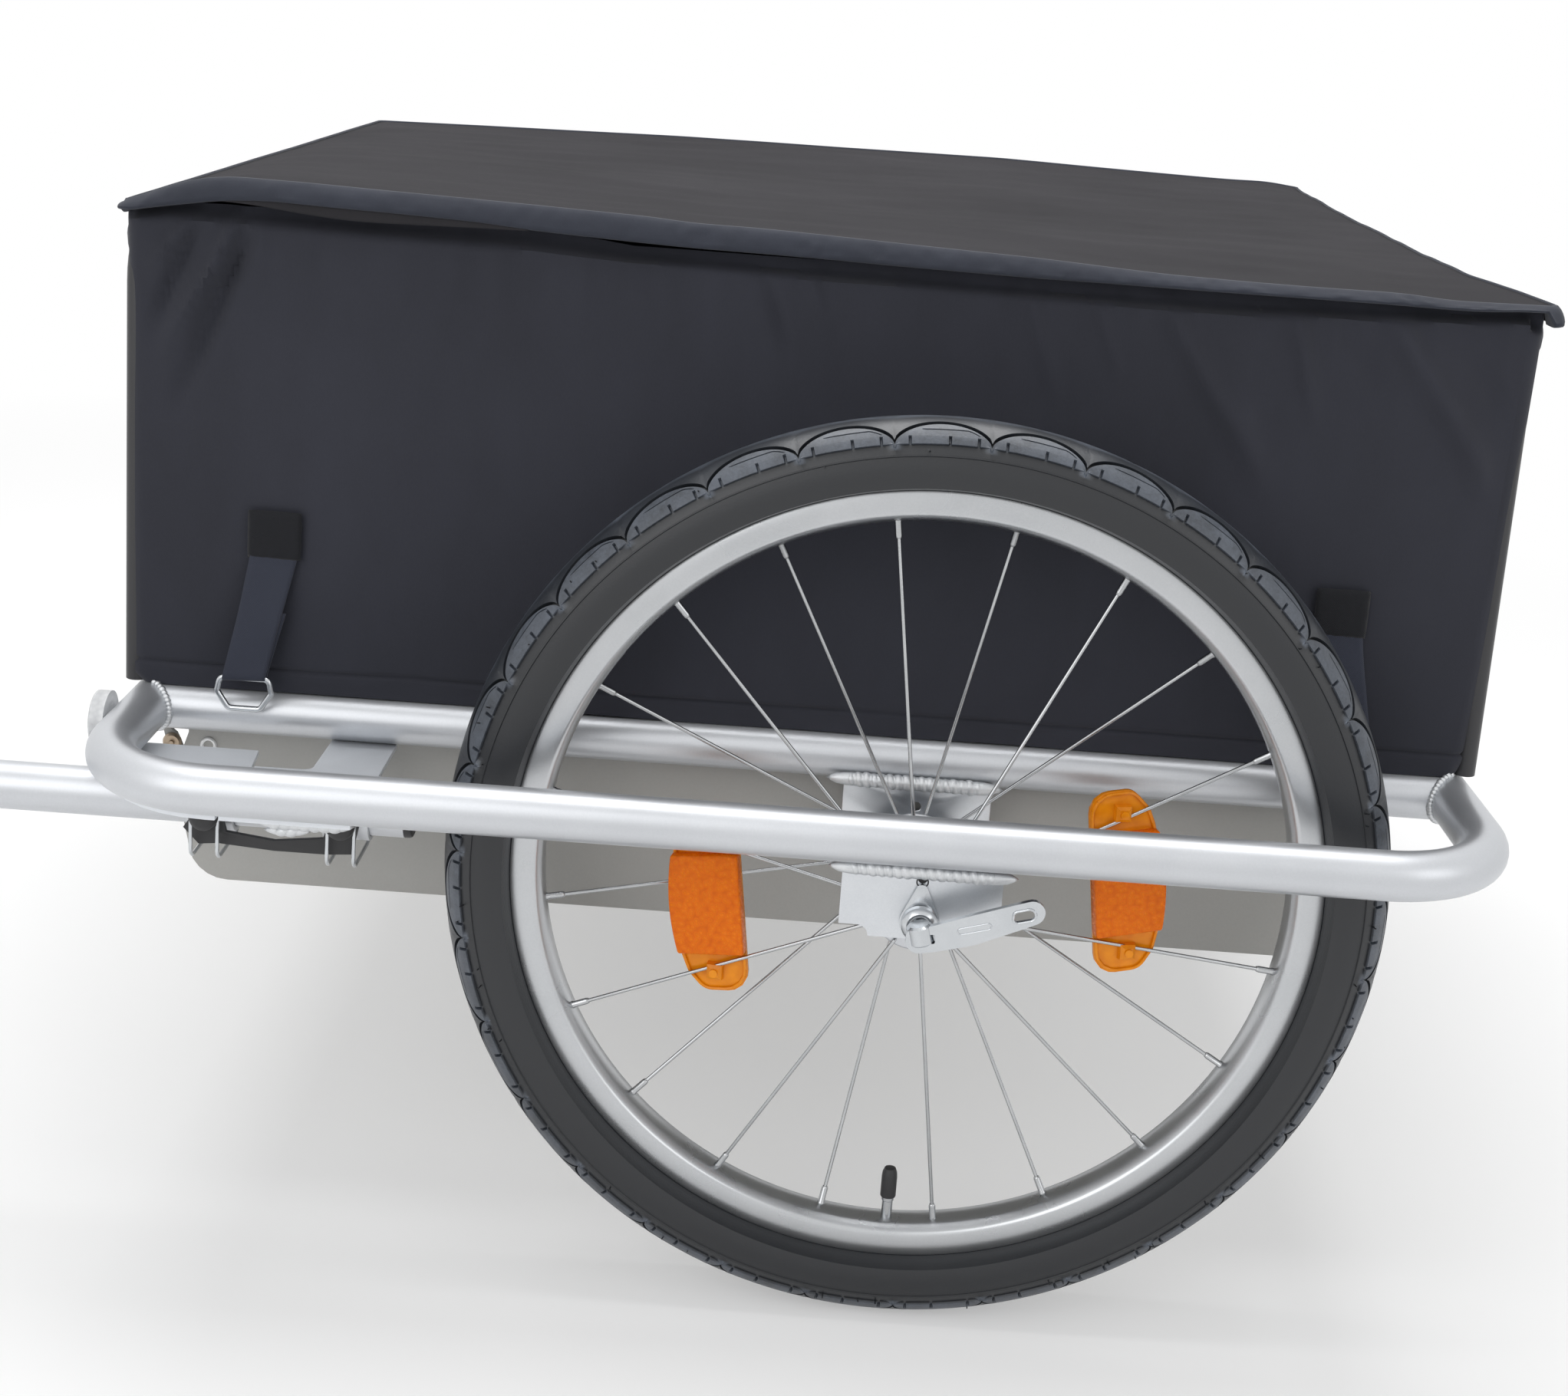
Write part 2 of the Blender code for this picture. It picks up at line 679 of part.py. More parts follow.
def make_axle_set(side):
    """Hollow axle with its lock nuts, skewer, cam lever and nut of one wheel."""
    plate_in, plate_out = DROPOUT_IN, DROPOUT_IN + DROPOUT_T
    centre = at(0, side * WHEEL_Y, AXLE_Z)
    out = Matrix.Rotation(math.radians(-90 * side), 4, "X")
    cone_in = FLANGE_Y + FLANGE_T / 2 + HUB_END + RUN
    end = plate_out - AXLE_SHORT
    axle = [
        (AXLE_BORE_R, end), (AXLE_R, end), (AXLE_R, plate_in - GAP), (LOCK_NUT_R, plate_in - GAP),
        (LOCK_NUT_R, cone_in), (AXLE_R + 0.0010, cone_in),
    ]
    axle += [(radius, -height) for radius, height in reversed(axle)]
    turned(side_name("hub_axle", side), axle, SHAFT_STEPS, STEEL, centre, out, ring=True)
    washer_out = plate_out + GAP + WASHER_T
    head = washer_out + GAP
    nut = -plate_out - GAP
    skewer = [
        (0, head + SKEWER_HEAD_T), (SKEWER_FACE_R, head + SKEWER_HEAD_T),
        (SKEWER_HEAD_R, head + SKEWER_RIM_T), (SKEWER_HEAD_R, head), (SKEWER_R, head),
        (SKEWER_R, nut - SKEWER_TAIL), (0, nut - SKEWER_TAIL),
    ]
    turned(side_name("skewer", side), skewer, SHAFT_STEPS, STEEL, centre, out)
    knurl = [
        (SKEWER_R + GAP, nut), (SKEWER_NUT_R, nut), (SKEWER_NUT_R, nut - SKEWER_NUT_RIM_T),
        (SKEWER_NUT_END_R, nut - SKEWER_NUT_T), (SKEWER_R + GAP, nut - SKEWER_NUT_T),
    ]
    turned(side_name("skewer_nut", side), knurl, SHAFT_STEPS, STEEL, centre, out, ring=True)
    make_lever(side, side_name("cam_lever", side), head + SKEWER_HEAD_T + GAP)


def lever_outline():
    """Blade that widens from the barrel to a round tip."""
    root = [(0, LEVER_ROOT_W / 2), (0, -LEVER_ROOT_W / 2)]
    middle = (LEVER_LONG - LEVER_TIP_R, 0)
    return root + arc(middle, LEVER_TIP_R, math.radians(-84), math.radians(84), 8)


def make_lever(side, name, seat):
    """Cam barrel across the skewer with a flat blade that leans out, window near the tip."""
    centre = at(0, side * (WHEEL_Y + seat + LEVER_BARREL_R), AXLE_Z)
    ahead = Vector((-math.cos(LEVER_RISE), 0, math.sin(LEVER_RISE)))
    along = ahead * math.cos(LEVER_LEAN) + Vector((0, side * math.sin(LEVER_LEAN), 0))
    across = ahead.cross(Vector((0, 1, 0)))
    turn = Matrix((along, across, along.cross(across))).transposed().to_4x4()
    far = LEVER_LONG - LEVER_TIP_R
    half = LEVER_TIP_R - LEVER_RIM
    window = rounded_rectangle((far - LEVER_TIP_R, -half), (far + half, half), 0.8 * half, 3)
    blade = as_mesh(plate(name, [lever_outline(), window], LEVER_T, STEEL, centre, turn))
    barrel = cylinder(name + "_barrel", LEVER_BARREL_R, LEVER_BARREL_L, centre,
                      across.to_track_quat("Z", "Y").to_matrix().to_4x4(), STEEL, CUTTERS, 20)
    combine(blade, barrel, "UNION")


def make_hook_washer(side):
    """Teardrop washer under a cam lever, with a peg in its dropout."""
    name = side_name("hook_washer", side)
    y = side * (WHEEL_Y + DROPOUT_IN + DROPOUT_T + GAP + WASHER_T / 2)
    low = arc((0, 0), HOOK_LOW_R, math.radians(165), math.radians(375), 12)
    high = arc((0, HOOK_HOLE_UP), HOOK_HIGH_R, math.radians(15), math.radians(165), 6)
    outline = [low + high, circle((0, 0), SKEWER_R + GAP, 12)]
    washer = as_mesh(plate(name, outline, WASHER_T, STEEL, at(0, y, AXLE_Z), FACING_Y))
    peg_y = y - side * (DROPOUT_T / 2 + WASHER_T / 2)
    peg = cylinder(name + "_peg", HOOK_PEG_R, DROPOUT_T + WASHER_T,
                   at(0, peg_y, AXLE_Z + HOOK_HOLE_UP), FACING_Y, sides=12)
    combine(washer, peg, "UNION")


def make_brackets():
    """Two sheets under the left rails that carry the tow bar's saddles."""
    z = BRACKET_TOP - PLATE_T / 2
    centre = (LOOP_FRONT - BEND_R, OUTER_Y - BEND_R)
    inner = INNER_Y + BRACKET_FRONT_INNER
    front = [(0.3485, OUTER_Y), (BRACKET_FRONT_REAR_X, WHEEL_Y), (0.3506, inner), (LOOP_FRONT, inner)]
    front += arc(centre, BEND_R, 0, math.pi / 2, 8)
    plate("bracket_front", [front], PLATE_T, ALUMINIUM, at(0, 0, z))
    rear = [(BRACKET_REAR_X, INNER_Y), (BRACKET_NECK_X, INNER_Y), (0.3175, WHEEL_Y - 0.0200)]
    rear += arc((0.3225, WHEEL_Y - 0.0170), BRACKET_NECK_R, math.pi, math.pi / 2, 4)
    rear += [(BRACKET_REAR_FRONT_X, WHEEL_Y - 0.0115), (BRACKET_REAR_FRONT_X, OUTER_Y)]
    rear += [(BRACKET_REAR_X, OUTER_Y)]
    plate("bracket_rear", [rear], PLATE_T, ALUMINIUM, at(0, 0, z))


def make_saddles():
    """U shaped straps under the brackets that hold the tow bar, bored for the lock pins."""
    top = BRACKET_TOP - PLATE_T - GAP - BAR_Z
    ear = SADDLE_EAR
    half = [
        (SADDLE_OUT, top - SADDLE_T), (SADDLE_OUT + ear, top - SADDLE_T), (SADDLE_OUT + ear, top),
        (SADDLE_IN, top),
    ]
    inner = arc((0, 0), SADDLE_IN, 0, -math.pi, 14)
    outer = arc((0, 0), SADDLE_OUT, -math.pi, 0, 14)
    other = [(-y, z) for y, z in reversed(half)]
    outline = half + inner + other + outer
    for place, x in (("front", PIN_FRONT_X), ("rear", PIN_REAR_X)):
        saddle = as_mesh(plate("bar_saddle_" + place, [outline], SADDLE_LONG, ALUMINIUM,
                               at(x, BAR_Y, BAR_Z), FACING_X))
        combine(saddle, pin_drill(f"saddle_drill_{place}", x), "DIFFERENCE")


def pin_drill(name, x):
    """Cutter for a lock pin's hole."""
    return cylinder(name, PIN_R + GAP, 6 * BAR_R, at(x, BAR_Y, BAR_Z), FACING_Y, sides=16)


def make_tow_bar():
    """Bent tube from the rear bracket to the hitch, drilled for both lock pins."""
    corners = [
        at(BAR_REAR_X, BAR_Y, BAR_Z), at(BAR_BEND_X, BAR_Y, BAR_Z),
        at(BAR_REACH_X, BAR_END_Y, BAR_END_Z), at(BAR_END_X, BAR_END_Y, BAR_END_Z),
    ]
    bar = as_mesh(tube("tow_bar", rounded_path(corners, BAR_BEND_R, 6), BAR_R, ALUMINIUM))
    for index, x in enumerate((PIN_FRONT_X, PIN_REAR_X)):
        combine(bar, pin_drill(f"bar_drill{index}", x), "DIFFERENCE")
    cap = [(0, PLUG_T), (BAR_R - PLUG_EDGE, PLUG_T), (BAR_R, PLUG_T - PLUG_EDGE), (BAR_R, 0), (0, 0)]
    turn = Matrix.Rotation(math.radians(-90), 4, "Y")
    turned("bar_plug", cap, 20, BLACK_PLASTIC, at(BAR_REAR_X - GAP, BAR_Y, BAR_Z), turn)


def make_lock_pin(name, x):
    """Lock pin with a domed head on the outer side of the saddle."""
    length = HEAD_Y - BAR_Y + SADDLE_OUT + PIN_PAST_BAR
    profile = [
        (0, PIN_HEAD_L), (PIN_HEAD_R - PIN_EDGE, PIN_HEAD_L), (PIN_HEAD_R, PIN_HEAD_L - PIN_EDGE),
        (PIN_HEAD_R, 0), (PIN_R, 0), (PIN_R, PIN_TIP_L - length), (PIN_R - PIN_EDGE, -length),
        (0, -length),
    ]
    turned(name, profile, 16, STEEL, at(x, HEAD_Y, BAR_Z), Matrix.Rotation(math.radians(-90), 4, "X"))


def make_bail(name, x):
    """Wire bail: two strands from the pin's head that join under the tip of the pin."""
    spread = PIN_HEAD_R + BAIL_WIRE_R + GAP
    near_y = HEAD_Y + PIN_HEAD_L / 2
    far_y = BAR_Y - SADDLE_OUT - BAIL_WIRE_R - BAIL_PAST_BAR
    low = BAR_Z - BAIL_DROP
    tip = BAR_Z - BAIL_REACH
    corners = [
        at(x + spread, near_y, BAR_Z), at(x + spread, near_y, low), at(x + spread, far_y, low),
        at(x + spread, far_y, tip), at(x - spread, far_y, tip), at(x - spread, far_y, low),
        at(x - spread, near_y, low), at(x - spread, near_y, BAR_Z),
    ]
    tube(name, rounded_path(corners, BAIL_BEND_R, 2), BAIL_WIRE_R, STEEL, sides=1)


def make_lanyard():
    """Flat rubber link between the two lock pins, one eye on each pin."""
    front, rear, eye, drop = PIN_FRONT_X, PIN_REAR_X, LANYARD_EYE_R, LANYARD_DROP
    outline = arc((front, 0), eye, math.radians(-20), math.radians(200), 10)
    outline += [(front - 0.0100, -drop + 0.0020), ((front + rear) / 2, -drop - 0.0010)]
    outline += [(rear + 0.0100, -drop + 0.0020)]
    outline += arc((rear, 0), eye, math.radians(-20), math.radians(200), 10)
    outline += [(rear - 0.0050, -drop - LANYARD_H), (rear + 0.0080, -drop - LANYARD_H - 0.0010)]
    outline += [((front + rear) / 2, -drop - LANYARD_H - 0.0010)]
    outline += [(front - 0.0060, -drop - LANYARD_H + 0.0010), (front + 0.0040, -drop - LANYARD_H)]
    outline += [(front + 0.0120, -drop + 0.0030)]
    holes = [circle((front, 0), PIN_R + GAP, 12), circle((rear, 0), PIN_R + GAP, 12)]
    y = BAR_Y + SADDLE_OUT + GAP + LANYARD_T / 2
    plate("lanyard", [outline] + holes, LANYARD_T, BLACK_PLASTIC, at(0, y, BAR_Z), FACING_Y)


def panel_outline():
    """Side view of a panel: round lower corners and an ear that reaches the loop."""
    low, high = PANEL_BOTTOM, RAIL_Z
    corner = PANEL_CORNER_R
    front, rear = PANEL_FRONT, -PANEL_REAR
    ear = [
        (front, high), (front, 0.2700), (front + 0.0030, 0.2610), (front + 0.0065, 0.2690),
        (LOOP_FRONT - 0.0020, RAIL_Z - TUBE_R - 0.0010), (LOOP_FRONT - 0.0060, 0.2590),
    ]
    bend = arc((front - corner, low + corner), corner, 0, -math.pi / 2, 6)
    back = arc((rear + corner, low + corner), corner, -math.pi / 2, -math.pi, 6)
    return ear + bend + back + [(rear, high)]


def make_panels():
    """Grey side panels inside the rails and the bent floor pan between them."""
    for side in (1, -1):
        plate(side_name("side_panel", side), [panel_outline()], PANEL_T, PANEL_GREY,
              at(0, side * PANEL_Y, 0), FACING_Y)
    inset = 0.0020
    front, rear = PANEL_FRONT - inset, -PANEL_REAR + inset
    low, corner = PANEL_BOTTOM + inset, PANEL_CORNER_R - inset
    top = RAIL_Z + TUBE_R / 2
    outside = [(rear, top)] + arc((rear + corner, low + corner), corner, math.pi, 1.5 * math.pi, 6)
    outside += arc((front - corner, low + corner), corner, -math.pi / 2, 0, 6) + [(front, top)]
    inner_r = corner - PAN_T
    inside = [(front - PAN_T, top)]
    inside += arc((front - corner, low + corner), inner_r, 0, -math.pi / 2, 6)
    inside += arc((rear + corner, low + corner), inner_r, 1.5 * math.pi, math.pi, 6)
    inside += [(rear + PAN_T, top)]
    width = 2 * (PANEL_Y - PANEL_T / 2 - GAP)
    plate("floor_pan", [outside + inside], width, PANEL_GREY, at(0, 0, 0), FACING_Y)


def make_cover():
    """Cloth walls of the box and the lid with its bound edge on three sides."""
    low, high = (-COVER_REAR, -COVER_HALF_Y), (COVER_FRONT, COVER_HALF_Y)
    outer = rounded_rectangle(low, high, COVER_CORNER_R)
    inner = rounded_rectangle(
        (low[0] + CLOTH_T, low[1] + CLOTH_T), (high[0] - CLOTH_T, high[1] - CLOTH_T),
        COVER_CORNER_R - CLOTH_T
    )
    height = CLOTH_TOP - CLOTH_BOTTOM
    middle = CLOTH_BOTTOM + height / 2
    walls = as_mesh(plate("cover_walls", [outer, inner], height, CLOTH, at(0, 0, middle)))
    for side in (1, -1):
        for place, x in (("front", STRAP_FRONT_X), ("rear", STRAP_REAR_X)):
            combine(walls, make_strap(side_name("strap_" + place, side), side, x), "UNION")
    make_lid(low, high)


def make_lid(low, high):
    """Lid sheet with a skirt that hangs outside the walls, open along the sewn front edge."""
    rear, half = low[0] - LID_OVER, high[1] + LID_OVER
    radius, wall = COVER_CORNER_R + LID_OVER, LID_OVER - RUN
    outline = rounded_rectangle((rear, -half), (high[0] + LID_OVER, half), radius)
    sheet = as_mesh(plate("cover_lid", [outline], LID_T, CLOTH, at(0, 0, COVER_TOP - LID_T / 2)))
    stop = high[0] - COVER_CORNER_R
    outside = rear_wrap(stop, rear, half, radius)
    inside = rear_wrap(stop, rear + wall, half - wall, radius - wall)
    skirt = as_mesh(plate("lid_skirt", [outside + inside[::-1]], LID_SKIRT, CLOTH,
                          at(0, 0, COVER_TOP - LID_T / 2 - LID_SKIRT / 2)))
    combine(sheet, skirt, "UNION")


def rear_wrap(front, rear, half, radius):
    """Line from the left front end round the rear corners to the right front end."""
    points = [(front, half)]
    points += arc((rear + radius, half - radius), radius, math.pi / 2, math.pi, 4)
    points += arc((rear + radius, radius - half), radius, math.pi, 1.5 * math.pi, 4)
    return points + [(front, -half)]


def make_hoops():
    """Two tube hoops welded to two top bars, which hold the cover square."""
    foot = RAIL_Z + TUBE_R + GAP
    hoops = []
    for name, x in (("cover_hoops", HOOP_FRONT), ("rear_hoop", HOOP_REAR)):
        corners = [at(x, HOOP_Y, foot), at(x, HOOP_Y, HOOP_TOP), at(x, -HOOP_Y, HOOP_TOP),
                   at(x, -HOOP_Y, foot)]
        hoops.append(as_mesh(tube(name, rounded_path(corners, HOOP_BEND_R, 4), HOOP_R, STEEL,
                                  sides=2)))
    for side in (1, -1):
        y = side * (HOOP_Y - HOOP_BEND_R)
        ends = [at(HOOP_FRONT, y, HOOP_TOP), at(HOOP_REAR, y, HOOP_TOP)]
        bar = as_mesh(tube(side_name("top_bar", side), ends, 0.9 * HOOP_R, STEEL, sides=2))
        combine(hoops[0], bar, "UNION")
    combine(hoops[0], hoops[1], "UNION")


def strap_outline():
    """Side view of a strap: patch on the cloth, strap leaning out, loop round its ring."""
    top, wall = PATCH_TOP, COVER_HALF_Y - CLOTH_T / 4
    eye_y, eye_z = RING_Y, RING_TOP
    eye = RING_WIRE_R + GAP + STRAP_T
    loop = arc((eye_y, eye_z), eye, math.radians(150), math.radians(395), 9)
    return [
        (wall + STRAP_T + 0.0010, top - PATCH_H - 0.0020), (wall + STRAP_T + 0.0010, top - 0.0060),
        (wall, top - 0.0060), (wall, top - PATCH_H - 0.0080),
    ] + loop


def make_strap(name, side, x):
    """Strap sewn to the cover, looped round the top of a ring."""
    outline = [(side * y, z) for y, z in strap_outline()]
    eye = circle((side * RING_Y, RING_TOP), RING_WIRE_R + GAP, 8)
    strap = as_mesh(plate(name, [outline, eye], STRAP_W, CLOTH, at(x, 0, 0), FACING_X))
    for vertex in strap.data.vertices:
        vertex.co.z += ring_lean(x) * min(1, (PATCH_TOP - vertex.co.y) / (PATCH_TOP - RING_TOP))
    return strap


def ring_lean(x):
    """How far a strap's foot lies outward of its patch, forward at the front."""
    return math.copysign(STRAP_LEAN, x)


def make_rings():
    """Wire rings: straight top in the strap, slanted sides and a straight foot."""
    half_top, half, foot = STRAP_W / 2 + 0.0015, RING_W / 2, RING_W / 2 - 0.0060
    for side in (1, -1):
        for place, x in (("front", STRAP_FRONT_X), ("rear", STRAP_REAR_X)):
            corners = [(half_top, 0), (half, -RING_H * 0.45), (foot, -RING_H), (-foot, -RING_H),
                       (-half, -RING_H * 0.45), (-half_top, 0)]
            middle = x + ring_lean(x)
            points = [at(middle + u, side * RING_Y, RING_TOP + v) for u, v in corners]
            tube(side_name("ring_" + place, side), points, RING_WIRE_R, STEEL, closed=True, sides=2)


def make_front_reflectors():
    """Pale round reflectors on the front of the loop."""
    profile = [(0, FRONT_REFLECTOR_T), (FRONT_REFLECTOR_R - FRONT_REFLECTOR_EDGE, FRONT_REFLECTOR_T),
               (FRONT_REFLECTOR_R, FRONT_REFLECTOR_RIM_T), (FRONT_REFLECTOR_R, 0), (0, 0)]
    turn = Matrix.Rotation(math.radians(90), 4, "Y")
    for side in (1, -1):
        where = at(LOOP_FRONT + TUBE_R + GAP, side * FRONT_REFLECTOR_Y, RAIL_Z)
        turned(side_name("front_reflector", side), profile, 20, CLEAR, where, turn)


def make_hitch():
    """Swivel on the bar's end, yoke on an upright pin, and a coupler plate on a cross bolt."""
    turn = Matrix.Rotation(math.radians(90), 4, "Y")
    y, z = BAR_END_Y, BAR_END_Z
    start = BAR_END_X + GAP
    shank = HITCH_X - start - TONGUE_BACK
    profile = [(0, shank), (SWIVEL_NOSE_R, shank), (SWIVEL_R, shank - SWIVEL_EDGE), (SWIVEL_R, 0), (0, 0)]
    swivel = as_mesh(turned("hitch_swivel", profile, 24, STEEL, at(start, y, z), turn))
    outline = [(-TONGUE_LONG, -TONGUE_R), *arc((0, 0), TONGUE_R, -math.pi / 2, math.pi / 2, 10),
               (-TONGUE_LONG, TONGUE_R)]
    tongue = as_mesh(plate("tongue", [outline, circle((0, 0), HITCH_PIN_R + GAP, 16)], TONGUE_T,
                           STEEL, at(HITCH_X, y, z)))
    combine(swivel, tongue, "UNION")
    half = TONGUE_T / 2 + RUN
    arm = [*arc((0, 0), TONGUE_R, math.pi / 2, 1.5 * math.pi, 10), (YOKE_LONG, -TONGUE_R),
           (YOKE_LONG, TONGUE_R)]
    yoke = as_mesh(plate("hitch_yoke", [arm, circle((0, 0), HITCH_PIN_R + GAP, 16)],
                         2 * (half + YOKE_T), STEEL, at(HITCH_X, y, z)))
    throat = block("yoke_throat", (THROAT_LONG, THROAT_WIDE, 2 * half), at(HITCH_X - THROAT_BACK, y, z),
                   None, group=CUTTERS)
    combine(yoke, throat, "DIFFERENCE")
    bolt_hole = cylinder("yoke_bolt_hole", HITCH_PIN_R + GAP, THROAT_WIDE, at(COUPLER_X, y, z), FACING_Y,
                         sides=16)
    combine(yoke, bolt_hole, "DIFFERENCE")
    top = half + YOKE_T + GAP
    pin = [(0, top + HITCH_PIN_HEAD_T + BOLT_RIM_T), (BOLT_HEAD_R, top + HITCH_PIN_HEAD_T),
           (BOLT_HEAD_R, top), (HITCH_PIN_R, top), (HITCH_PIN_R, -top - BOLT_PAST),
           (0, -top - BOLT_PAST)]
    turned("hitch_pin", pin, 20, STEEL, at(HITCH_X, y, z))
    make_coupler(y, z)


def make_coupler(y, z):
    """Stepped plate that leans up to the bicycle's axle, and the bolt that carries it."""
    along = Vector((math.cos(COUPLER_RISE), 0, math.sin(COUPLER_RISE)))
    outward = Vector((0, -1, 0))
    across = along.cross(outward)
    where = at(COUPLER_X, y - TONGUE_R - RUN, z)
    turn = Matrix((along, outward, across)).transposed().to_4x4()
    far = COUPLER_ARM + 2 * COUPLER_R
    bend, level = COUPLER_ARM - COUPLER_R, COUPLER_STEP + COUPLER_T
    inside = [(-COUPLER_R, 0), (TONGUE_R, 0), (bend, COUPLER_STEP), (far, COUPLER_STEP)]
    outside = [(far, level), (bend, level), (TONGUE_R, COUPLER_T), (-COUPLER_R, COUPLER_T)]
    strip = as_mesh(plate("hitch_coupler", [inside + outside], 3 * COUPLER_R, STEEL, where, turn))
    root = arc((0, 0), TONGUE_R, math.radians(90), math.radians(270), 10)
    tip = arc((COUPLER_ARM, 0), COUPLER_R, math.radians(-90), math.radians(90), 10)
    holes = [circle((0, 0), HITCH_PIN_R + GAP, 16), circle((COUPLER_ARM, 0), COUPLER_HOLE_R, 20)]
    turn = Matrix((along, across, along.cross(across))).transposed().to_4x4()
    shape = as_mesh(plate("coupler_shape", [root + tip] + holes, 6 * COUPLER_T, None, where, turn))
    combine(strip, shape, "INTERSECT")
    inner = TONGUE_R + RUN + COUPLER_T + GAP
    bolt = [(0, inner + COUPLER_BOLT_HEAD_T + BOLT_RIM_T), (BOLT_HEAD_R, inner + COUPLER_BOLT_HEAD_T),
            (BOLT_HEAD_R, inner), (HITCH_PIN_R, inner), (HITCH_PIN_R, -TONGUE_R - BOLT_PAST),
            (0, -TONGUE_R - BOLT_PAST)]
    turn = Matrix.Rotation(math.radians(90), 4, "X")
    turned("coupler_bolt", bolt, 20, STEEL, at(COUPLER_X, y, z), turn)


def build():
    """Frame, wheels, tow bar, box and hitch, in the order they go together."""
    make_loop()
    for side in (1, -1):
        make_inner_rail(side)
        make_dropout(side_name("dropout_outer", side), side, -1)
        make_dropout(side_name("dropout_inner", side), side, 1)
        make_wheel(side)
        make_axle_set(side)
        make_hook_washer(side)
    make_brackets()
    make_saddles()
    make_tow_bar()
    for place, x in (("front", PIN_FRONT_X), ("rear", PIN_REAR_X)):
        make_lock_pin("lock_pin_" + place, x)
        make_bail("pin_bail_" + place, x)
    make_lanyard()
    make_panels()
    make_cover()
    make_hoops()
    make_rings()
    make_front_reflectors()
    make_hitch()


build()
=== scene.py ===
"""A bike cargo trailer in a plain studio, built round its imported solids."""

import json
import random
from math import copysign, cos, dist, exp, hypot, pi, radians, sin, tan

import bpy
from mathutils import Matrix, Vector, noise

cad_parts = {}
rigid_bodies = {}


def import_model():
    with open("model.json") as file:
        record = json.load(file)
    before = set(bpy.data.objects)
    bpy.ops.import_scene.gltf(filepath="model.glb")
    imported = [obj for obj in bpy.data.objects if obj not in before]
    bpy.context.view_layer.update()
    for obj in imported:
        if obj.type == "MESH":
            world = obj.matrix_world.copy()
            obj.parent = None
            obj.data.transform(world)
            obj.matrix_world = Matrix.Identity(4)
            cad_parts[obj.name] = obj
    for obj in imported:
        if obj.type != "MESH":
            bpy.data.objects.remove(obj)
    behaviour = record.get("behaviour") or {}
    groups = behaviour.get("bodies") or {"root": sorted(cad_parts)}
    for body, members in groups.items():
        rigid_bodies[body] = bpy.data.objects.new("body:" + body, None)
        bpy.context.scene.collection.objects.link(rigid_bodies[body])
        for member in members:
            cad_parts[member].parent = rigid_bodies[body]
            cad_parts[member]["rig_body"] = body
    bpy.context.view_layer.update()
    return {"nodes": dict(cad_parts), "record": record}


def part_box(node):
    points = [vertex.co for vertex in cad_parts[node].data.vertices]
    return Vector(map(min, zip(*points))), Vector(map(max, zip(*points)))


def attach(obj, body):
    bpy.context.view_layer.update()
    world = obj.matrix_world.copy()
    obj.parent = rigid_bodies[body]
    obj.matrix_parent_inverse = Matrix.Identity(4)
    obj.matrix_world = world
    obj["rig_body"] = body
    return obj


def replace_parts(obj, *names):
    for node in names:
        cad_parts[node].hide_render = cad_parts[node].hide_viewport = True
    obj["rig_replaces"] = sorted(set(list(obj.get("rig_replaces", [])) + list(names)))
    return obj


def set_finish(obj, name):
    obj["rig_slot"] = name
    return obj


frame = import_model()
scene = bpy.context.scene

# The studio. The camera stands where the photograph was taken, left of the trailer and
# a little above it. The axle of the left wheel is what every place below is counted from.
low, high = (Vector(corner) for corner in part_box("tyre_left"))
axle = (low + high) / 2
tyre_radius = (high.z - low.z) / 2


def at(x, y, z):
    """World point for a place counted forward from the axle."""
    return Vector((axle.x + x, y, z))


camera_data = bpy.data.cameras.new("camera")
camera = bpy.data.objects.new("camera", camera_data)
scene.collection.objects.link(camera)
scene.camera = camera
camera_right = Vector((-0.997333, -0.014669, 0.071505))
camera_up = Vector((0.072932, -0.240893, 0.967807))
camera_back = Vector((0.00303, 0.97044, 0.24132))
turn = Matrix((camera_right, camera_up, camera_back)).transposed().to_4x4()
camera.matrix_world = Matrix.Translation(at(0.07367, 1.55564, 0.69645)) @ turn
photo_wide, film_wide = 2044, 36
focal_pixels = 3081.01
camera_data.lens = focal_pixels / photo_wide * film_wide
camera_data.sensor_width = film_wide
camera_data.shift_x = -25.96 / photo_wide
camera_data.shift_y = -178.61 / photo_wide
camera_data.clip_start = 0.01

scene.view_settings.view_transform = "Standard"


def new_node(tree, kind, sockets=None, **settings):
    """One shader node; a socket given as a value gets a link, anything else is its number."""
    made = tree.nodes.new("ShaderNode" + kind)
    for key, value in settings.items():
        setattr(made, key, value)
    for key, value in (sockets or {}).items():
        if isinstance(value, bpy.types.NodeSocket):
            tree.links.new(value, made.inputs[key])
        else:
            made.inputs[key].default_value = value
    return made


def maths(tree, operation, first, second=0.5, third=0.5, clamp=False):
    """Result of one Math node."""
    made = new_node(tree, "Math", {0: first, 1: second, 2: third}, operation=operation)
    made.use_clamp = clamp
    return made.outputs[0]


def looked_at(tree):
    """One for rays that reach the lens, straight or by glass or mirror, and zero for light."""
    rays = new_node(tree, "LightPath").outputs
    seen = maths(tree, "MAXIMUM", rays["Is Camera Ray"], rays["Is Transmission Ray"])
    return maths(tree, "MAXIMUM", seen, rays["Is Glossy Ray"])


# Background: white to the lens and to metal that mirrors it, a soft even grey as light.
world = bpy.data.worlds.new("studio")
world.use_nodes = True
scene.world = world
tree = world.node_tree
tree.nodes.clear()
strength = maths(tree, "MULTIPLY_ADD", looked_at(tree), 0.38, 0.62)
sky = new_node(tree, "Background", {"Color": (1, 1, 1, 1), "Strength": strength})
new_node(tree, "OutputWorld", {"Surface": sky.outputs[0]})

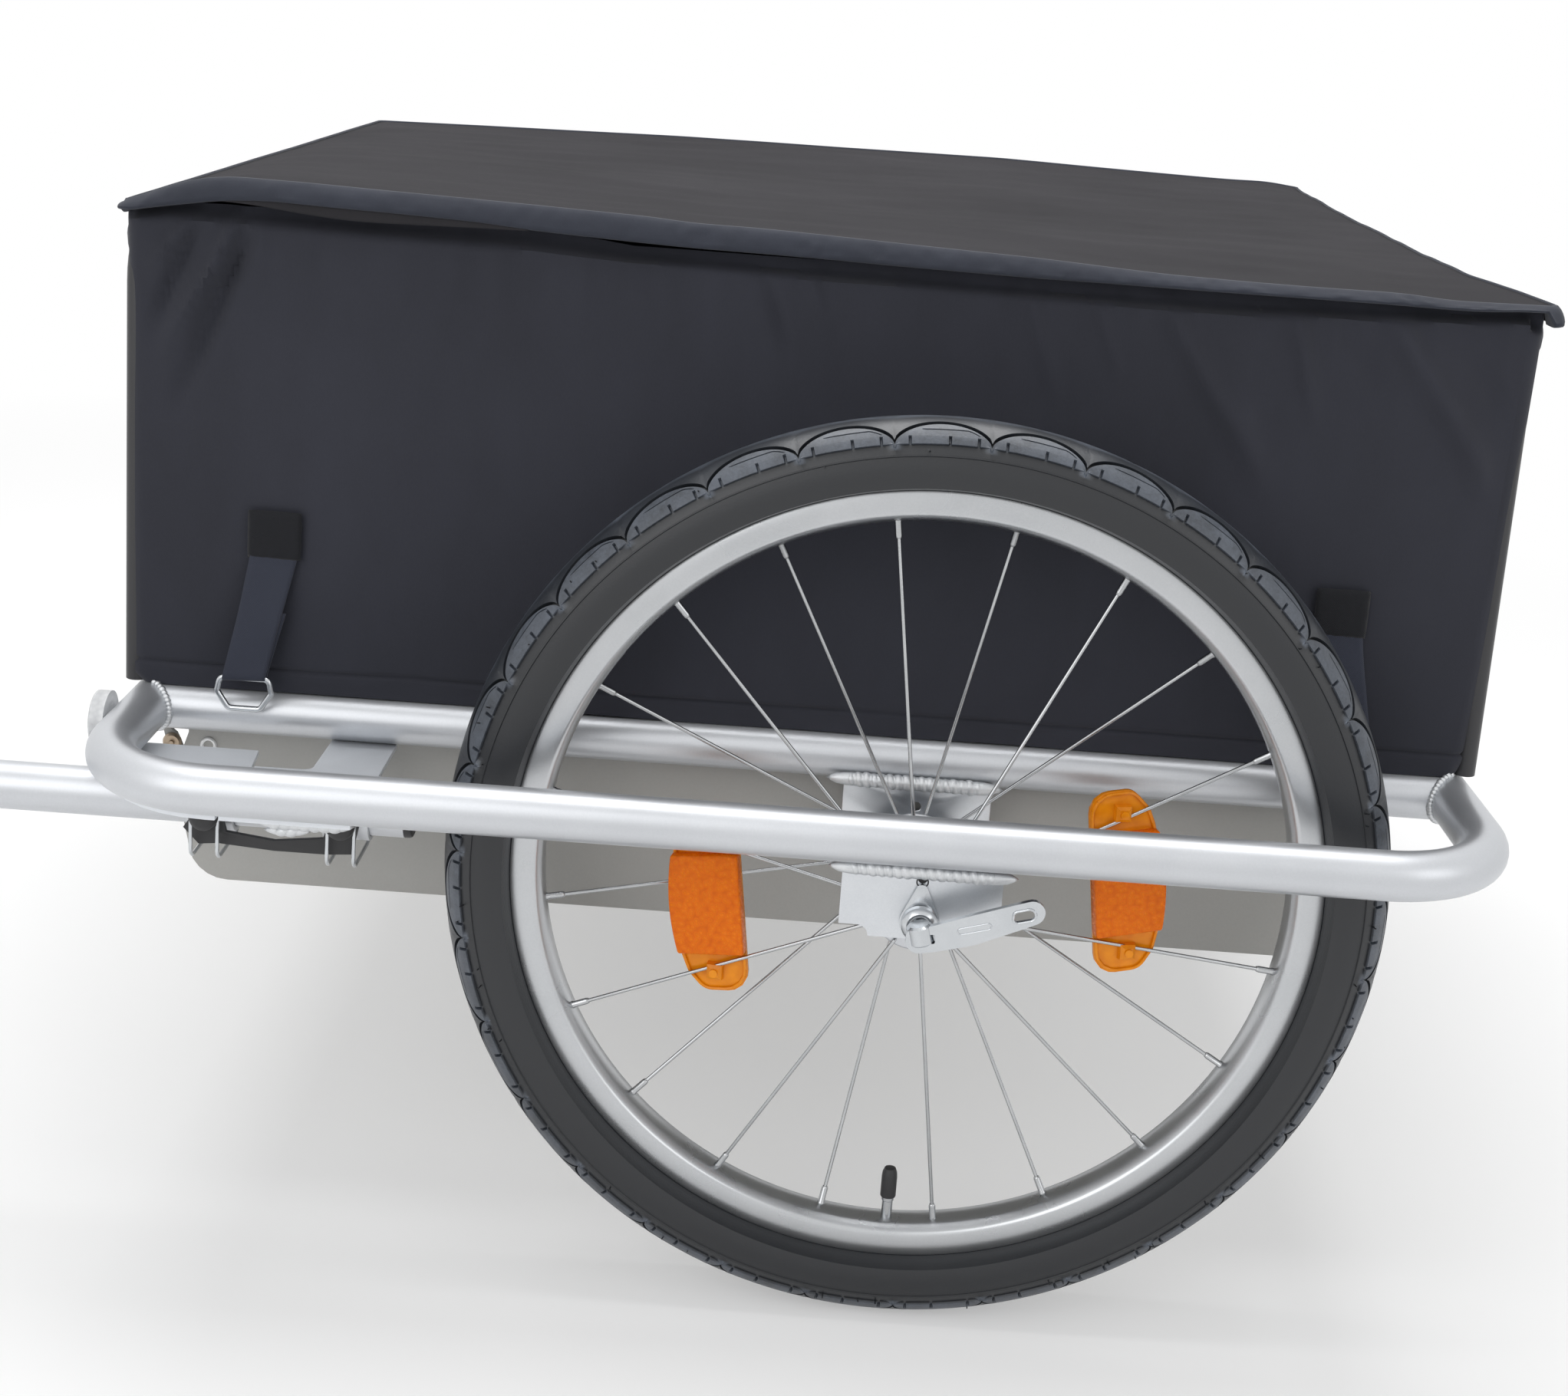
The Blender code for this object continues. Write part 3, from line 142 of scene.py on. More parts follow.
# Floor: a wide white disc that keeps the shadow near the trailer and fades to the backdrop.
bpy.ops.object.select_all(action="DESELECT")
floor_r, floor_border = 7, 4.5
bpy.ops.mesh.primitive_circle_add(vertices=96, radius=floor_r, fill_type="NGON",
                                  location=(0, 0, 0))
floor = bpy.context.object
floor.name = "studio_floor"
bpy.ops.object.mode_set(mode="EDIT")
bpy.ops.mesh.inset(thickness=floor_border, depth=0)
bpy.ops.object.mode_set(mode="OBJECT")
paper = bpy.data.materials.new("studio_paper")
paper.use_nodes = True
tree = paper.node_tree
tree.nodes.clear()
place = new_node(tree, "TexCoord").outputs["Object"]
away = new_node(tree, "VectorMath", {0: place}, operation="LENGTH").outputs["Value"]
fade_start, fade_stop = 1.0, 2.1
far = new_node(tree, "MapRange", {0: away, 1: fade_start, 2: fade_stop, 3: 0.0, 4: 1.0}, clamp=True)
white = maths(tree, "MULTIPLY_ADD", far.outputs[0], 0.65, 0.35)
share = maths(tree, "MULTIPLY", white, looked_at(tree))
matt = new_node(tree, "BsdfDiffuse", {"Color": (0.93, 0.93, 0.93, 1)})
glow = new_node(tree, "Emission", {"Color": (1, 1, 1, 1), "Strength": 1.0})
mixed = new_node(tree, "MixShader", {0: share, 1: matt.outputs[0], 2: glow.outputs[0]})
new_node(tree, "OutputMaterial", {"Surface": mixed.outputs[0]})
floor.data.materials.append(paper)

# Lamps: square soft boxes, each with its place, what it faces, its size and its watts.
for name, place, aim, size, watts in (
        ("overhead_box", (-0.3, -0.2, 2.3), (-0.3, 0, 0.3), 1.7, 42),
        ("front_box", (1.0, 2.6, 1.7), (-0.3, 0.2, 0.3), 2.1, 20),
        ("rear_box", (-2.3, 1.8, 1.3), (-0.4, 0.2, 0.3), 1.2, 5)):
    data = bpy.data.lights.new(name, "AREA")
    data.shape = "SQUARE"
    data.size = size
    data.energy = watts
    lamp = bpy.data.objects.new(name, data)
    scene.collection.objects.link(lamp)
    lamp.location = place
    lamp.rotation_euler = (Vector(place) - Vector(aim)).to_track_quat("Z", "Y").to_euler()

# The frame. One long tube is bent into a loop with round corners, and two straight rails
# are welded inside it; all are 25 mm aluminium with a satin, slightly cloudy skin.


def effect_group(name, inputs, outputs):
    """Empty node group with number or vector inputs and number outputs."""
    made = bpy.data.node_groups.new(name, "ShaderNodeTree")
    for label, kind in inputs:
        made.interface.new_socket(name=label, in_out="INPUT", socket_type=kind)
    for label, kind in outputs:
        made.interface.new_socket(name=label, in_out="OUTPUT", socket_type=kind)
    return made, made.nodes.new("NodeGroupInput"), made.nodes.new("NodeGroupOutput")


# Cloudy skin: large soft patches, fine grain and short drawing lines, for every metal.
skin, skin_in, skin_out = effect_group(
    "cloudy_skin",
    (("Vector", "NodeSocketVector"), ("Patch Scale", "NodeSocketFloat"),
     ("Grain Scale", "NodeSocketFloat")),
    (("Shade", "NodeSocketFloat"), ("Gloss", "NodeSocketFloat"), ("Height", "NodeSocketFloat")),
)
patches = new_node(skin, "TexNoise", {"Vector": skin_in.outputs[0], "Scale": skin_in.outputs[1],
        "Detail": 3.0, "Roughness": 0.55})
grain = new_node(skin, "TexNoise", {"Vector": skin_in.outputs[0], "Scale": skin_in.outputs[2],
                                    "Detail": 2.0, "Roughness": 0.6})
share = maths(skin, "MULTIPLY", patches.outputs[0], 0.65)
both = maths(skin, "MULTIPLY_ADD", grain.outputs[0], 0.35, share)
skin.links.new(both, skin_out.inputs["Shade"])
gloss = maths(skin, "SUBTRACT", patches.outputs[0], 0.5)
skin.links.new(gloss, skin_out.inputs["Gloss"])
skin.links.new(grain.outputs[0], skin_out.inputs["Height"])


def new_finish(name, rough, metallic=0.0, **sockets):
    """Principled material whose plain values stand on its own sockets."""
    made = bpy.data.materials.new(name)
    made.use_nodes = True
    shader = made.node_tree.nodes["Principled BSDF"]
    shader.inputs["Roughness"].default_value = rough
    shader.inputs["Metallic"].default_value = metallic
    for key, value in sockets.items():
        shader.inputs[key.replace("_", " ")].default_value = value
    return made, made.node_tree, shader


def tones_and_relief(tree, shader, share, dark, light, height=None, bump=0.0, depth=0.0004):
    """Colour mixed from two tones by a share, and fine relief from a height."""
    tones = new_node(tree, "Mix", {0: share, 6: (*dark, 1), 7: (*light, 1)}, data_type="RGBA")
    tree.links.new(tones.outputs[2], shader.inputs["Base Color"])
    if height is not None:
        relief = new_node(tree, "Bump", {"Strength": bump, "Distance": depth, "Height": height})
        tree.links.new(relief.outputs[0], shader.inputs["Normal"])


def metal_finish(name, dark, light, rough, metallic=1.0, patch=14.0, grain_scale=900.0, bump=0.04,
                 spread=0.16):
    """Cloudy metal or paint: two tones, uneven gloss and a fine grain in the surface."""
    made, tree, shader = new_finish(name, rough, metallic)
    place = new_node(tree, "TexCoord").outputs["Object"]
    cloud = new_node(tree, "Group", node_tree=skin)
    tree.links.new(place, cloud.inputs["Vector"])
    cloud.inputs["Patch Scale"].default_value = patch
    cloud.inputs["Grain Scale"].default_value = grain_scale
    tones_and_relief(tree, shader, cloud.outputs["Shade"], dark, light,
                     cloud.outputs["Height"], bump)
    uneven = maths(tree, "MULTIPLY_ADD", cloud.outputs["Gloss"], spread, rough, clamp=True)
    tree.links.new(uneven, shader.inputs["Roughness"])
    return made


satin_aluminium = metal_finish("satin_aluminium", (0.5, 0.515, 0.54), (0.66, 0.675, 0.7), 0.4,
                               metallic=0.78)


def edit_all(piece):
    """Edit mode on a piece, with its whole mesh selected."""
    bpy.context.view_layer.objects.active = piece
    piece.select_set(True)
    bpy.ops.object.mode_set(mode="EDIT")
    bpy.ops.mesh.select_all(action="SELECT")


def edit_none():
    """Nothing of the mesh selected, so that what is drawn next stands alone."""
    bpy.ops.mesh.select_all(action="DESELECT")


def nothing_selected():
    """Object mode with nothing selected."""
    if bpy.context.mode != "OBJECT":
        bpy.ops.object.mode_set(mode="OBJECT")
    bpy.ops.object.select_all(action="DESELECT")


def begin(name, data=None):
    """New piece from a mesh, or an empty one at the origin, open in edit mode."""
    nothing_selected()
    piece = bpy.data.objects.new(name, data or bpy.data.meshes.new(name))
    scene.collection.objects.link(piece)
    edit_all(piece)
    return piece


def push(move):
    """Extrudes what is selected along a vector."""
    bpy.ops.mesh.extrude_region_move(TRANSFORM_OT_translate={"value": tuple(move)})


def draw_tube(corners, radius, bend, sides, closed=False, steps=12):
    """Disc pushed along straight runs and spun round each bend, as a tube bender does."""
    path = [Vector(corner) for corner in corners]
    if closed:
        middle = (path[0] + path[1]) / 2
        path = [middle] + path[1:] + [path[0], middle]
    facing = (path[1] - path[0]).to_track_quat("Z", "Y").to_euler()
    edit_none()
    bpy.ops.mesh.primitive_circle_add(vertices=sides, radius=radius, fill_type="NGON", location=path[0],
            rotation=facing)
    reached = path[0]
    for before, corner, after in zip(path, path[1:], path[2:]):
        ahead = (corner - before).normalized()
        onward = (after - corner).normalized()
        angle = ahead.angle(onward)
        reach = bend * tan(angle / 2)
        around = ahead.cross(onward).normalized()
        stop = corner - ahead * reach
        push(stop - reached)
        bpy.ops.mesh.spin(steps=steps, angle=-angle, center=stop + around.cross(ahead) * bend,
                          axis=around)
        reached = corner + onward * reach
    push(path[-1] - reached)
    if closed:
        edit_none()
        bpy.ops.mesh.select_face_by_sides(number=4, type="GREATER")
        bpy.ops.mesh.delete(type="ONLY_FACE")


def draw_turned(centre, axis, profile, sides, closed=False):
    """Line of (radius, height) points spun once round an axis, as on a lathe."""
    axis = Vector(axis).normalized()
    side = axis.orthogonal().normalized()
    spots = [Vector(centre) + axis * height + side * radius for radius, height in profile]
    if closed:
        spots.append(spots[0])
    edit_none()
    bpy.ops.mesh.primitive_plane_add(size=0.001, location=spots[0])
    bpy.ops.mesh.merge(type="CENTER")
    for spot, following in zip(spots, spots[1:]):
        bpy.ops.mesh.extrude_vertices_move(TRANSFORM_OT_translate={"value": tuple(following - spot)})
    bpy.ops.mesh.select_linked()
    bpy.ops.mesh.spin(steps=sides, angle=2 * pi, center=Vector(centre), axis=axis)


def mirrored(piece):
    """The same piece for the right side, with its own mesh, on the right-hand body and nodes."""
    def other(name):
        return name.replace("_left", "_right")

    data = piece.data.copy()
    data.transform(Matrix.Diagonal((1, -1, 1, 1)))
    data.flip_normals()
    twin = bpy.data.objects.new(other(piece.name), data)
    scene.collection.objects.link(twin)
    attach(twin, other(piece["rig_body"]))
    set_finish(twin, piece["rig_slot"])
    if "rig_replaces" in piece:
        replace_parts(twin, *[other(node) for node in piece["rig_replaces"]])


weld_gap = 0.00001


def finished(piece, finish, body, slot, *nodes, smooth=30, merge=weld_gap, turn_out=True):
    """Welds a piece, turns its faces out, gives it finish, body, slot and nodes, and mirrors
    it to the right side if its name ends in left."""
    edit_all(piece)
    bpy.ops.mesh.remove_doubles(threshold=merge)
    if turn_out:
        bpy.ops.mesh.normals_make_consistent(inside=False)
    bpy.ops.object.mode_set(mode="OBJECT")
    bpy.ops.object.transform_apply(location=True, rotation=True, scale=True)
    piece.data.materials.clear()
    piece.data.materials.append(finish)
    bpy.ops.object.shade_smooth_by_angle(angle=radians(smooth))
    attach(piece, body)
    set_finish(piece, slot)
    if nodes:
        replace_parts(piece, *nodes)
    if piece.name.endswith("_left"):
        mirrored(piece)


tube_r = 0.0125
rail_z = 0.2893
inner_y = 0.3417
outer_y = 0.4677
wheel_y = 0.4047
loop_front, loop_rear = 0.4155, -0.287
bend_r = 0.0625

loop = begin("frame_loop_tube")
draw_tube([at(loop_front, outer_y, rail_z), at(loop_rear, outer_y, rail_z),
           at(loop_rear, -outer_y, rail_z), at(loop_front, -outer_y, rail_z)],
          tube_r, bend_r, sides=48, closed=True, steps=16)
finished(loop, satin_aluminium, "frame", "aluminium", "frame_loop", smooth=35)
rail = begin("inner_rail_tube_left")
draw_tube([at(loop_rear, inner_y, rail_z), at(loop_front, inner_y, rail_z)], tube_r, bend_r, 48)
finished(rail, satin_aluminium, "frame", "aluminium", "inner_rail_left", smooth=35)

# Welds. Every joint of the frame has a bead of small overlapping drops, whiter and rougher
# than the tube, and no grinding has been done on it.
weld_white = metal_finish("weld_white", (0.5, 0.52, 0.54), (0.76, 0.77, 0.78), 0.48, patch=160.0,
                          grain_scale=1500.0, bump=0.35, spread=0.3)


def draw_drops(points, size, seed):
    """Row of overlapping, slightly flat drops along a joint."""
    chance = random.Random(seed)
    for point in points:
        grown = size * chance.uniform(0.88, 1.12)
        edit_none()
        bpy.ops.mesh.primitive_uv_sphere_add(
            segments=10, ring_count=7, radius=grown, location=point,
            rotation=(chance.uniform(0, 3), chance.uniform(0, 3), 0), scale=(1, 1, 0.9))


beads = begin("rail_end_welds_left")
bead_r, bead_steps, bead_out = 0.0021, 40, 1.04
for end, way in ((loop_front, -1), (loop_rear, 1)):
    ring = []
    for step in range(bead_steps):
        angle = 2 * pi * step / bead_steps
        ahead, aside, up = tube_r * abs(cos(angle)) + 0.0006, tube_r * cos(angle), tube_r * sin(angle)
        ring.append(at(end + way * ahead, inner_y + aside * bead_out, rail_z + up * bead_out))
    draw_drops(ring, bead_r, 7)
finished(beads, weld_white, "frame", "aluminium", smooth=80)

# Dropouts. Each wheel hangs between two 4 mm plates under the rails, with a slot for the
# axle and a small hole for the hook washer's peg. A thick rippled weld holds each plate.
body_of_node = {node: body for body, nodes in frame["record"]["behaviour"]["bodies"].items()
                for node in nodes}


def ease(piece, width, segments=2):
    """Rounds the sharp edges of a piece."""
    bpy.ops.object.mode_set(mode="OBJECT")
    edges = piece.modifiers.new("edges", "BEVEL")
    edges.width = width
    edges.segments = segments
    edges.limit_method = "ANGLE"
    edges.angle_limit = radians(35)
    edges.use_clamp_overlap = True
    bpy.ops.object.modifier_apply(modifier=edges.name)


def cut_plate(name, loops, place, thick):
    """Sheet cut to an outline with holes: place(u, v) gives its world points, thick its depth."""
    spots, lines = [], []
    for loop in loops:
        first = len(spots)
        spots += [place(u, v) for u, v in loop]
        lines += [(first + k, first + (k + 1) % len(loop)) for k in range(len(loop))]
    data = bpy.data.meshes.new(name)
    data.from_pydata(spots, lines, [])
    piece = begin(name, data)
    bpy.ops.mesh.fill()
    bpy.ops.mesh.select_all(action="SELECT")
    push(thick)
    bpy.ops.mesh.select_all(action="SELECT")
    bpy.ops.mesh.normals_make_consistent(inside=False)
    return piece


def rounded(corners, steps):
    """Closed outline with round corners, from (u, v, radius) corners."""
    points = []
    for index, (u, v, radius) in enumerate(corners):
        here = Vector((u, v))
        before = (Vector(corners[index - 1][:2]) - here).normalized()
        after = (Vector(corners[(index + 1) % len(corners)][:2]) - here).normalized()
        half = before.angle(after) / 2
        reach = radius / tan(half)
        start, stop = here + before * reach, here + after * reach
        middle = here + (before + after).normalized() * (radius / sin(half))
        for step in range(steps + 1):
            spot = start.lerp(stop, step / steps)
            points.append(tuple(middle + (spot - middle).normalized() * radius if radius else spot))
            if not radius:
                break
    return points


def edged(node, finish, slot_name, width=0.0006, segments=2):
    """Copy of a CAD node with whole flat faces and rounded edges."""
    piece = begin(node + "_finished", frame["nodes"][node].data.copy())
    piece.data.name = piece.name
    bpy.ops.mesh.customdata_custom_splitnormals_clear()
    bpy.ops.mesh.remove_doubles(threshold=weld_gap)
    bpy.ops.mesh.dissolve_limited(angle_limit=radians(0.5))
    ease(piece, width, segments)
    finished(piece, finish, body_of_node[node], slot_name, node, smooth=40)


plate_grey = metal_finish("plate_aluminium", (0.5, 0.52, 0.55), (0.74, 0.76, 0.78), 0.34, patch=30.0,
                          grain_scale=1400.0, bump=0.08)
for node in ("dropout_outer_left", "dropout_outer_right", "dropout_inner_left", "dropout_inner_right"):
    edged(node, plate_grey, "aluminium")


def both_ends(half):
    """Whole (radius, height) profile from the half that lies on one side."""
    return half + [(radius, -height) for radius, height in reversed(half) if height]


def draw_ripples(start, stop, count, size, lean, seed):
    """Weld bead of flattened drops that lean on each other, pointed at both ends."""
    chance = random.Random(seed)
    start, stop = Vector(start), Vector(stop)
    half, thick = (stop - start).length / 2, (size[1] + size[2]) * 0.43
    tip = [(0, half + 0.005), (0.45 * thick, half + 0.0025), (0.8 * thick, half - 0.0005),
           (thick, half - 0.006)]
    draw_turned((start + stop) / 2, (stop - start).normalized(), both_ends(tip), 16)
    for index in range(count):
        share = index / (count - 1)
        ends = min(1, 0.55 + min(share, 1 - share) * 4)
        edit_none()
        bpy.ops.mesh.primitive_uv_sphere_add(
            segments=16, ring_count=11, radius=1, location=start.lerp(stop, share),
            rotation=(0, lean + chance.uniform(-0.12, 0.12), 0),
            scale=[part * ends * chance.uniform(0.93, 1.07) for part in size])


plate_out, plate_front, plate_rear = 0.0543, 0.0425, -0.042
bead_size = (0.0033, 0.0041, 0.0043)
for name, y, front, rear, seed in (
        ("outer", wheel_y + plate_out + 0.0042, (plate_front, 0.2722), (plate_rear, 0.2716), 3),
        ("inner", wheel_y - plate_out + 0.0047, (0.0445, 0.28), (-0.0405, 0.2796), 5)):
    ripple = begin(f"dropout_weld_{name}_left")
    draw_ripples(at(front[0], y, front[1]), at(rear[0], y, rear[1]), 21, bead_size, 0.5, seed)
    finished(ripple, weld_white, "frame", "aluminium", smooth=80)

# Side panels and floor. Grey painted sheet closes the sides below the rails, and one sheet
# bent up at both ends is the floor between them.
panel_paint = metal_finish("panel_paint", (0.33, 0.325, 0.31), (0.43, 0.425, 0.405), 0.55, metallic=0.0,
                           patch=8.0, grain_scale=700.0, bump=0.1, spread=0.12)
for node in ("side_panel_left", "side_panel_right", "floor_pan"):
    edged(node, panel_paint, "panel", width=0.0004)

# Wheels. A 20 inch tyre with a block tread sits on a box rim. One pitch of the tread is
# drawn flat, wrapped on the tyre's section and repeated 31 times round the wheel.
centre = at(0, wheel_y, axle.z)
pitches = 31
section_r = 0.0235
section_centre = tyre_radius - section_r

first_spoke, spoke_step = 82.6, 18


def strip(name, across, along, place):
    """Flat grid whose vertices are put where place(i, j) says, keeping the grid's own nought-to-one UV.
    """
    nothing_selected()
    bpy.ops.mesh.primitive_grid_add(x_subdivisions=across, y_subdivisions=along, size=1,
                                    calc_uvs=True, location=(0, 0, 0))
    piece = bpy.context.object
    piece.name = piece.data.name = name
    for vertex in piece.data.vertices:
        i = round((vertex.co.x + 0.5) * across)
        j = round((vertex.co.y + 0.5) * along)
        vertex.co = place(i, j)
    return piece


def part_of_one(*values):
    """The least of the values, held between nought and one."""
    return max(0, min(1, *values))


def arch_angle(u):
    """Where the scalloped groove runs across the section, in degrees from the crown."""
    return 54 - 32 * sin(pi * u) ** 0.6


sipes = (0.16, 0.57, 0.865)
columns = {step / 28 for step in range(29)} | {0.018, 0.982, 0.05, 0.95}
for sipe in sipes:
    columns |= {sipe - 0.017, sipe - 0.009, sipe + 0.009, sipe + 0.017}
columns = sorted(columns)


def tread_rows(u):
    """(angle, depth in mm, dust share) of each row from the crown to the bead, at one place u; the dust
    share is nought in the grooves, which is painted groove shade.
    """
    arch = arch_angle(u)
    second = max(35, arch + 6.6)
    shown = part_of_one((u - 0.28) / 0.05, (0.88 - u) / 0.05)
    cut = 1.9 if min(abs(u - sipe) for sipe in sipes) < 0.0095 else 0.0
    tooth = max(0, 1 - min(u, 1 - u) / 0.08)
    # Third numbers: dust on the shoulder blocks, less at the crown, none on the sidewall, above one on
    # the shoulder teeth, and nought in the grooves as painted groove shade.
    rows = [(0, 0, 0.12), (arch * 0.3, 0, 0.15), (arch * 0.62, 0, 0.22), (arch - 3.4, 0, 0.2),
            (arch - 2.7, 2.6, 0), (arch + 2.2, 2.6, 0), (arch + 3.0, 0, 0.9), (second - 1.0, 0, 1),
            (second, 1.0 * shown, 1 - shown), (second + 1.0, 0, 1), (45.0, 0, 1), (46.0, cut, 1),
            (50.5, cut, 1), (55.5, cut - 0.5 * tooth, 1), (56.6, cut * 0.6 - 0.7 * tooth, 1
            + 0.5 * tooth), (57.5, 1.3 - 1.9 * tooth, 2.0 * tooth),
            (61.0, 1.2 - 1.2 * tooth, 1.8 * tooth), (65.0, 1.0 - 0.3 * tooth, 0), (71.0, 0.8, 0),
            (71.7, 0.1, 0), (72.7, 0.1, 0), (73.4, 0.8, 0), (82.0, 0.6, 0), (90.0, 0.4, 0),
            (98.0, 0.2, 0), (106.0, 0.1, 0), (110.0, 0.0, 0), (113.0, 0, 0), (116.0, 0, 0),
            (118.0, 0, 0), (120.0, 0, 0)]
    spaced, last = [], -1.0
    for angle, depth, block in rows:
        angle = max(angle, last + 0.25)
        spaced.append((angle, depth, block))
        last = angle
    return spaced


near_rows = [tread_rows(u) for u in columns]
far_rows = [tread_rows((u + 0.5) % 1) for u in columns]
row_count = len(near_rows[0])
dust_and_groove_shades = {}
bead_r, bead_y = 0.2096, 0.0122
wall_end, bead_turn, squareness = 110, 0.8, 0.93


def tread_point(i, j):
    """Place of one tread vertex: rows run from the far bead over the crown to the near bead."""
    side = j - (row_count - 1)
    angle, depth, block = (near_rows if side >= 0 else far_rows)[i][abs(side)]
    if side == 0:
        depth, block = 0, 1
    past = max(0, (angle - wall_end) / 10)
    inward, tucked = min(1, past / bead_turn), max(0, past - bead_turn) / 0.2
    angle = radians(min(angle, wall_end))
    radius = section_r - depth / 1000
    out = copysign(abs(cos(angle)) ** squareness, cos(angle))
    turn = 2 * pi / pitches * columns[i] + radians(first_spoke)
    from_axle = section_centre + radius * out
    from_axle += (bead_r - from_axle) * inward - 0.0012 * tucked
    aside = radius * abs(sin(angle)) ** squareness
    aside += (bead_y - aside) * inward ** 1.25 - 0.002 * tucked
    dust_and_groove_shades[(i, j)] = block
    return centre + Vector((from_axle * cos(turn), copysign(aside, side), from_axle * sin(turn)))


tyre = strip("tyre_tread_left", len(columns) - 1, 2 * row_count - 2, tread_point)
# Attribute of dust on the blocks and painted shade in the grooves, read by the rubber.
layer = tyre.data.attributes.new("block", "FLOAT", "POINT")
across = len(columns)
for index, value in enumerate(layer.data):
    value.value = dust_and_groove_shades[(index % across, index // across)]
edit_all(tyre)
bpy.ops.mesh.spin(steps=pitches - 1, dupli=True, angle=2 * pi * (pitches - 1) / pitches,
                  center=centre, axis=(0, -1, 0))

rubber, tree, shader = new_finish("tyre_rubber", 0.5, 0.0, Specular_IOR_Level=0.6)
place = new_node(tree, "TexCoord").outputs["Object"]
dust = new_node(tree, "TexNoise", {"Vector": place, "Scale": 60.0, "Detail": 6.0, "Roughness": 0.65})
speck = new_node(tree, "TexNoise", {"Vector": place, "Scale": 700.0, "Detail": 3.0, "Roughness": 0.6})
# The dust share lightens the blocks with dust and leaves the grooves dark as painted groove shade.
top = new_node(tree, "Attribute", attribute_name="block").outputs["Fac"]
wear = maths(tree, "MULTIPLY_ADD", speck.outputs[0], 0.5, -0.4)
wear = maths(tree, "MULTIPLY_ADD", dust.outputs[0], 1.25, wear)
tone_share = maths(tree, "MULTIPLY", top, wear, clamp=True)
tones_and_relief(tree, shader, tone_share, (0.009, 0.0105, 0.0135), (0.112, 0.13, 0.162),
                 speck.outputs[0], 0.25)
tree.links.new(maths(tree, "MULTIPLY_ADD", tone_share, 0.1, 0.4, clamp=True), shader.inputs["Roughness"])
finished(tyre, rubber, "wheel_left", "tyre", "tyre_left", smooth=28, merge=0.00003)

# Rim. A double-wall aluminium hoop, rolled and joined, with bright machined side walls.
rim_finish = metal_finish("rim_aluminium", (0.42, 0.435, 0.45), (0.6, 0.61, 0.625), 0.29, patch=22.0,
                          grain_scale=1200.0, bump=0.05)


def mm(*points):
    """Points given in millimetres, in metres."""
    return [tuple(part / 1000 for part in point) for point in points]


half_rim = mm((205.2, 0), (205.2, 8.5), (205.6, 10), (209.4, 10.4), (209.6, 11.2), (209.2, 12),
              (208, 12.5), (198.2, 12.5), (197, 12.2), (195.8, 11.2), (193.8, 7.8), (193, 6.2),
              (192.7, 0))
across_wheel = (0, 1, 0)


def lathe(name, place, axis, profile, sides, finish, body, slot, *nodes, closed=False, smooth=30):
    """Turned piece: a profile spun round an axis, finished for its body, slot and nodes."""
    piece = begin(name)
    draw_turned(place, axis, profile, sides, closed)
    finished(piece, finish, body, slot, *nodes, smooth=smooth)


lathe("rim_hoop_left", centre, across_wheel, both_ends(half_rim), 160,
      rim_finish, "wheel_left", "aluminium", "spoked_rim_left", closed=True)

# Spokes. Twenty radial wires a wheel, ten from each hub flange: each has a head behind the
# flange, an elbow in the drilled hole and a brass-cored nipple screwed down on the rim.
bright_steel = metal_finish("bright_steel", (0.34, 0.35, 0.36), (0.58, 0.59, 0.6), 0.22, patch=60.0,
                            grain_scale=1800.0, bump=0.03)
spoke_ring, flange_y, elbow_y = 0.0205, 0.034, 0.03625
spoke_r, spoke_bend, nipple_seat, nipple_y = 0.001, 0.0022, 0.1945, 0.002
head_start, head_seat = flange_y - 0.0035, flange_y - 0.003
spoke_head = mm((0, -0.8), (1.4, -0.6), (1.9, 0), (1.2, 1.2), (0, 1.3))
nipple = mm((0, -1), (2.1, -1), (2.1, 2.2), (1.8, 2.8), (1.8, 10), (1.4, 11.2), (1, 11.4))
spokes = begin("spokes_left")
for index, outward_side in ((0, 1), (1, -1)):
    angle = radians(first_spoke + spoke_step * index)
    out = Vector((cos(angle), 0, sin(angle)))
    side = Vector((0, outward_side, 0))
    hole = centre + out * spoke_ring
    seat = centre + out * nipple_seat + side * nipple_y
    elbow = hole + side * elbow_y
    draw_tube([hole + side * head_start, elbow, seat], spoke_r, spoke_bend, 10, steps=5)
    draw_turned(hole + side * head_seat, side, spoke_head, 12)
    draw_turned(seat, (elbow - seat).normalized(), nipple, 8)
bpy.ops.mesh.select_all(action="SELECT")
pairs = 10
bpy.ops.mesh.spin(steps=pairs - 1, dupli=True, angle=2 * pi * (pairs - 1) / pairs, center=centre,
                  axis=(0, -1, 0))
finished(spokes, bright_steel, "wheel_left", "steel", smooth=50)

# Hub. A turned aluminium shell with two drilled flanges, a race at each end and a hollow
# axle with lock nuts that stand against the dropouts.
half_hub = mm((9.8, 40.2), (13.5, 40.2), (14, 39.7), (14, 36.2), (15.2, 35.4), (23.2, 35.3), (24, 34.7),
              (24, 33.3), (23.2, 32.7), (15.2, 32.6), (13.8, 31.2), (12.8, 26), (12.4, 12))
lathe("hub_turned_left", centre, across_wheel, both_ends(half_hub), 64, satin_aluminium,
      "wheel_left", "aluminium", "hub_shell_left", smooth=32)
race = mm((10, 38.5), (11.8, 40.4), (8.5, 40.7), (6.8, 40.6), (6.4, 38.5))
axle_nut = mm((6.2, 40.9), (8, 41.1), (8.5, 41.6), (8.5, 49.4), (8, 49.9), (5, 50), (5, 53.8),
              (3, 53.8), (3, 40.9))
for name, profile, body, node in (("hub_races_left", race, "wheel_left", "hub_bearing_left"),
                                  ("axle_nuts_left", axle_nut, "frame", "hub_axle_left")):
    piece = begin(name)
    for way in (1, -1):
        draw_turned(centre, (0, way, 0), profile, 40, closed=True)
    finished(piece, bright_steel, body, "steel", node)
# Reflectors. Two orange lenses a wheel are clipped on the outer spokes; their faces have
# fine prisms between two plain recessed ends.


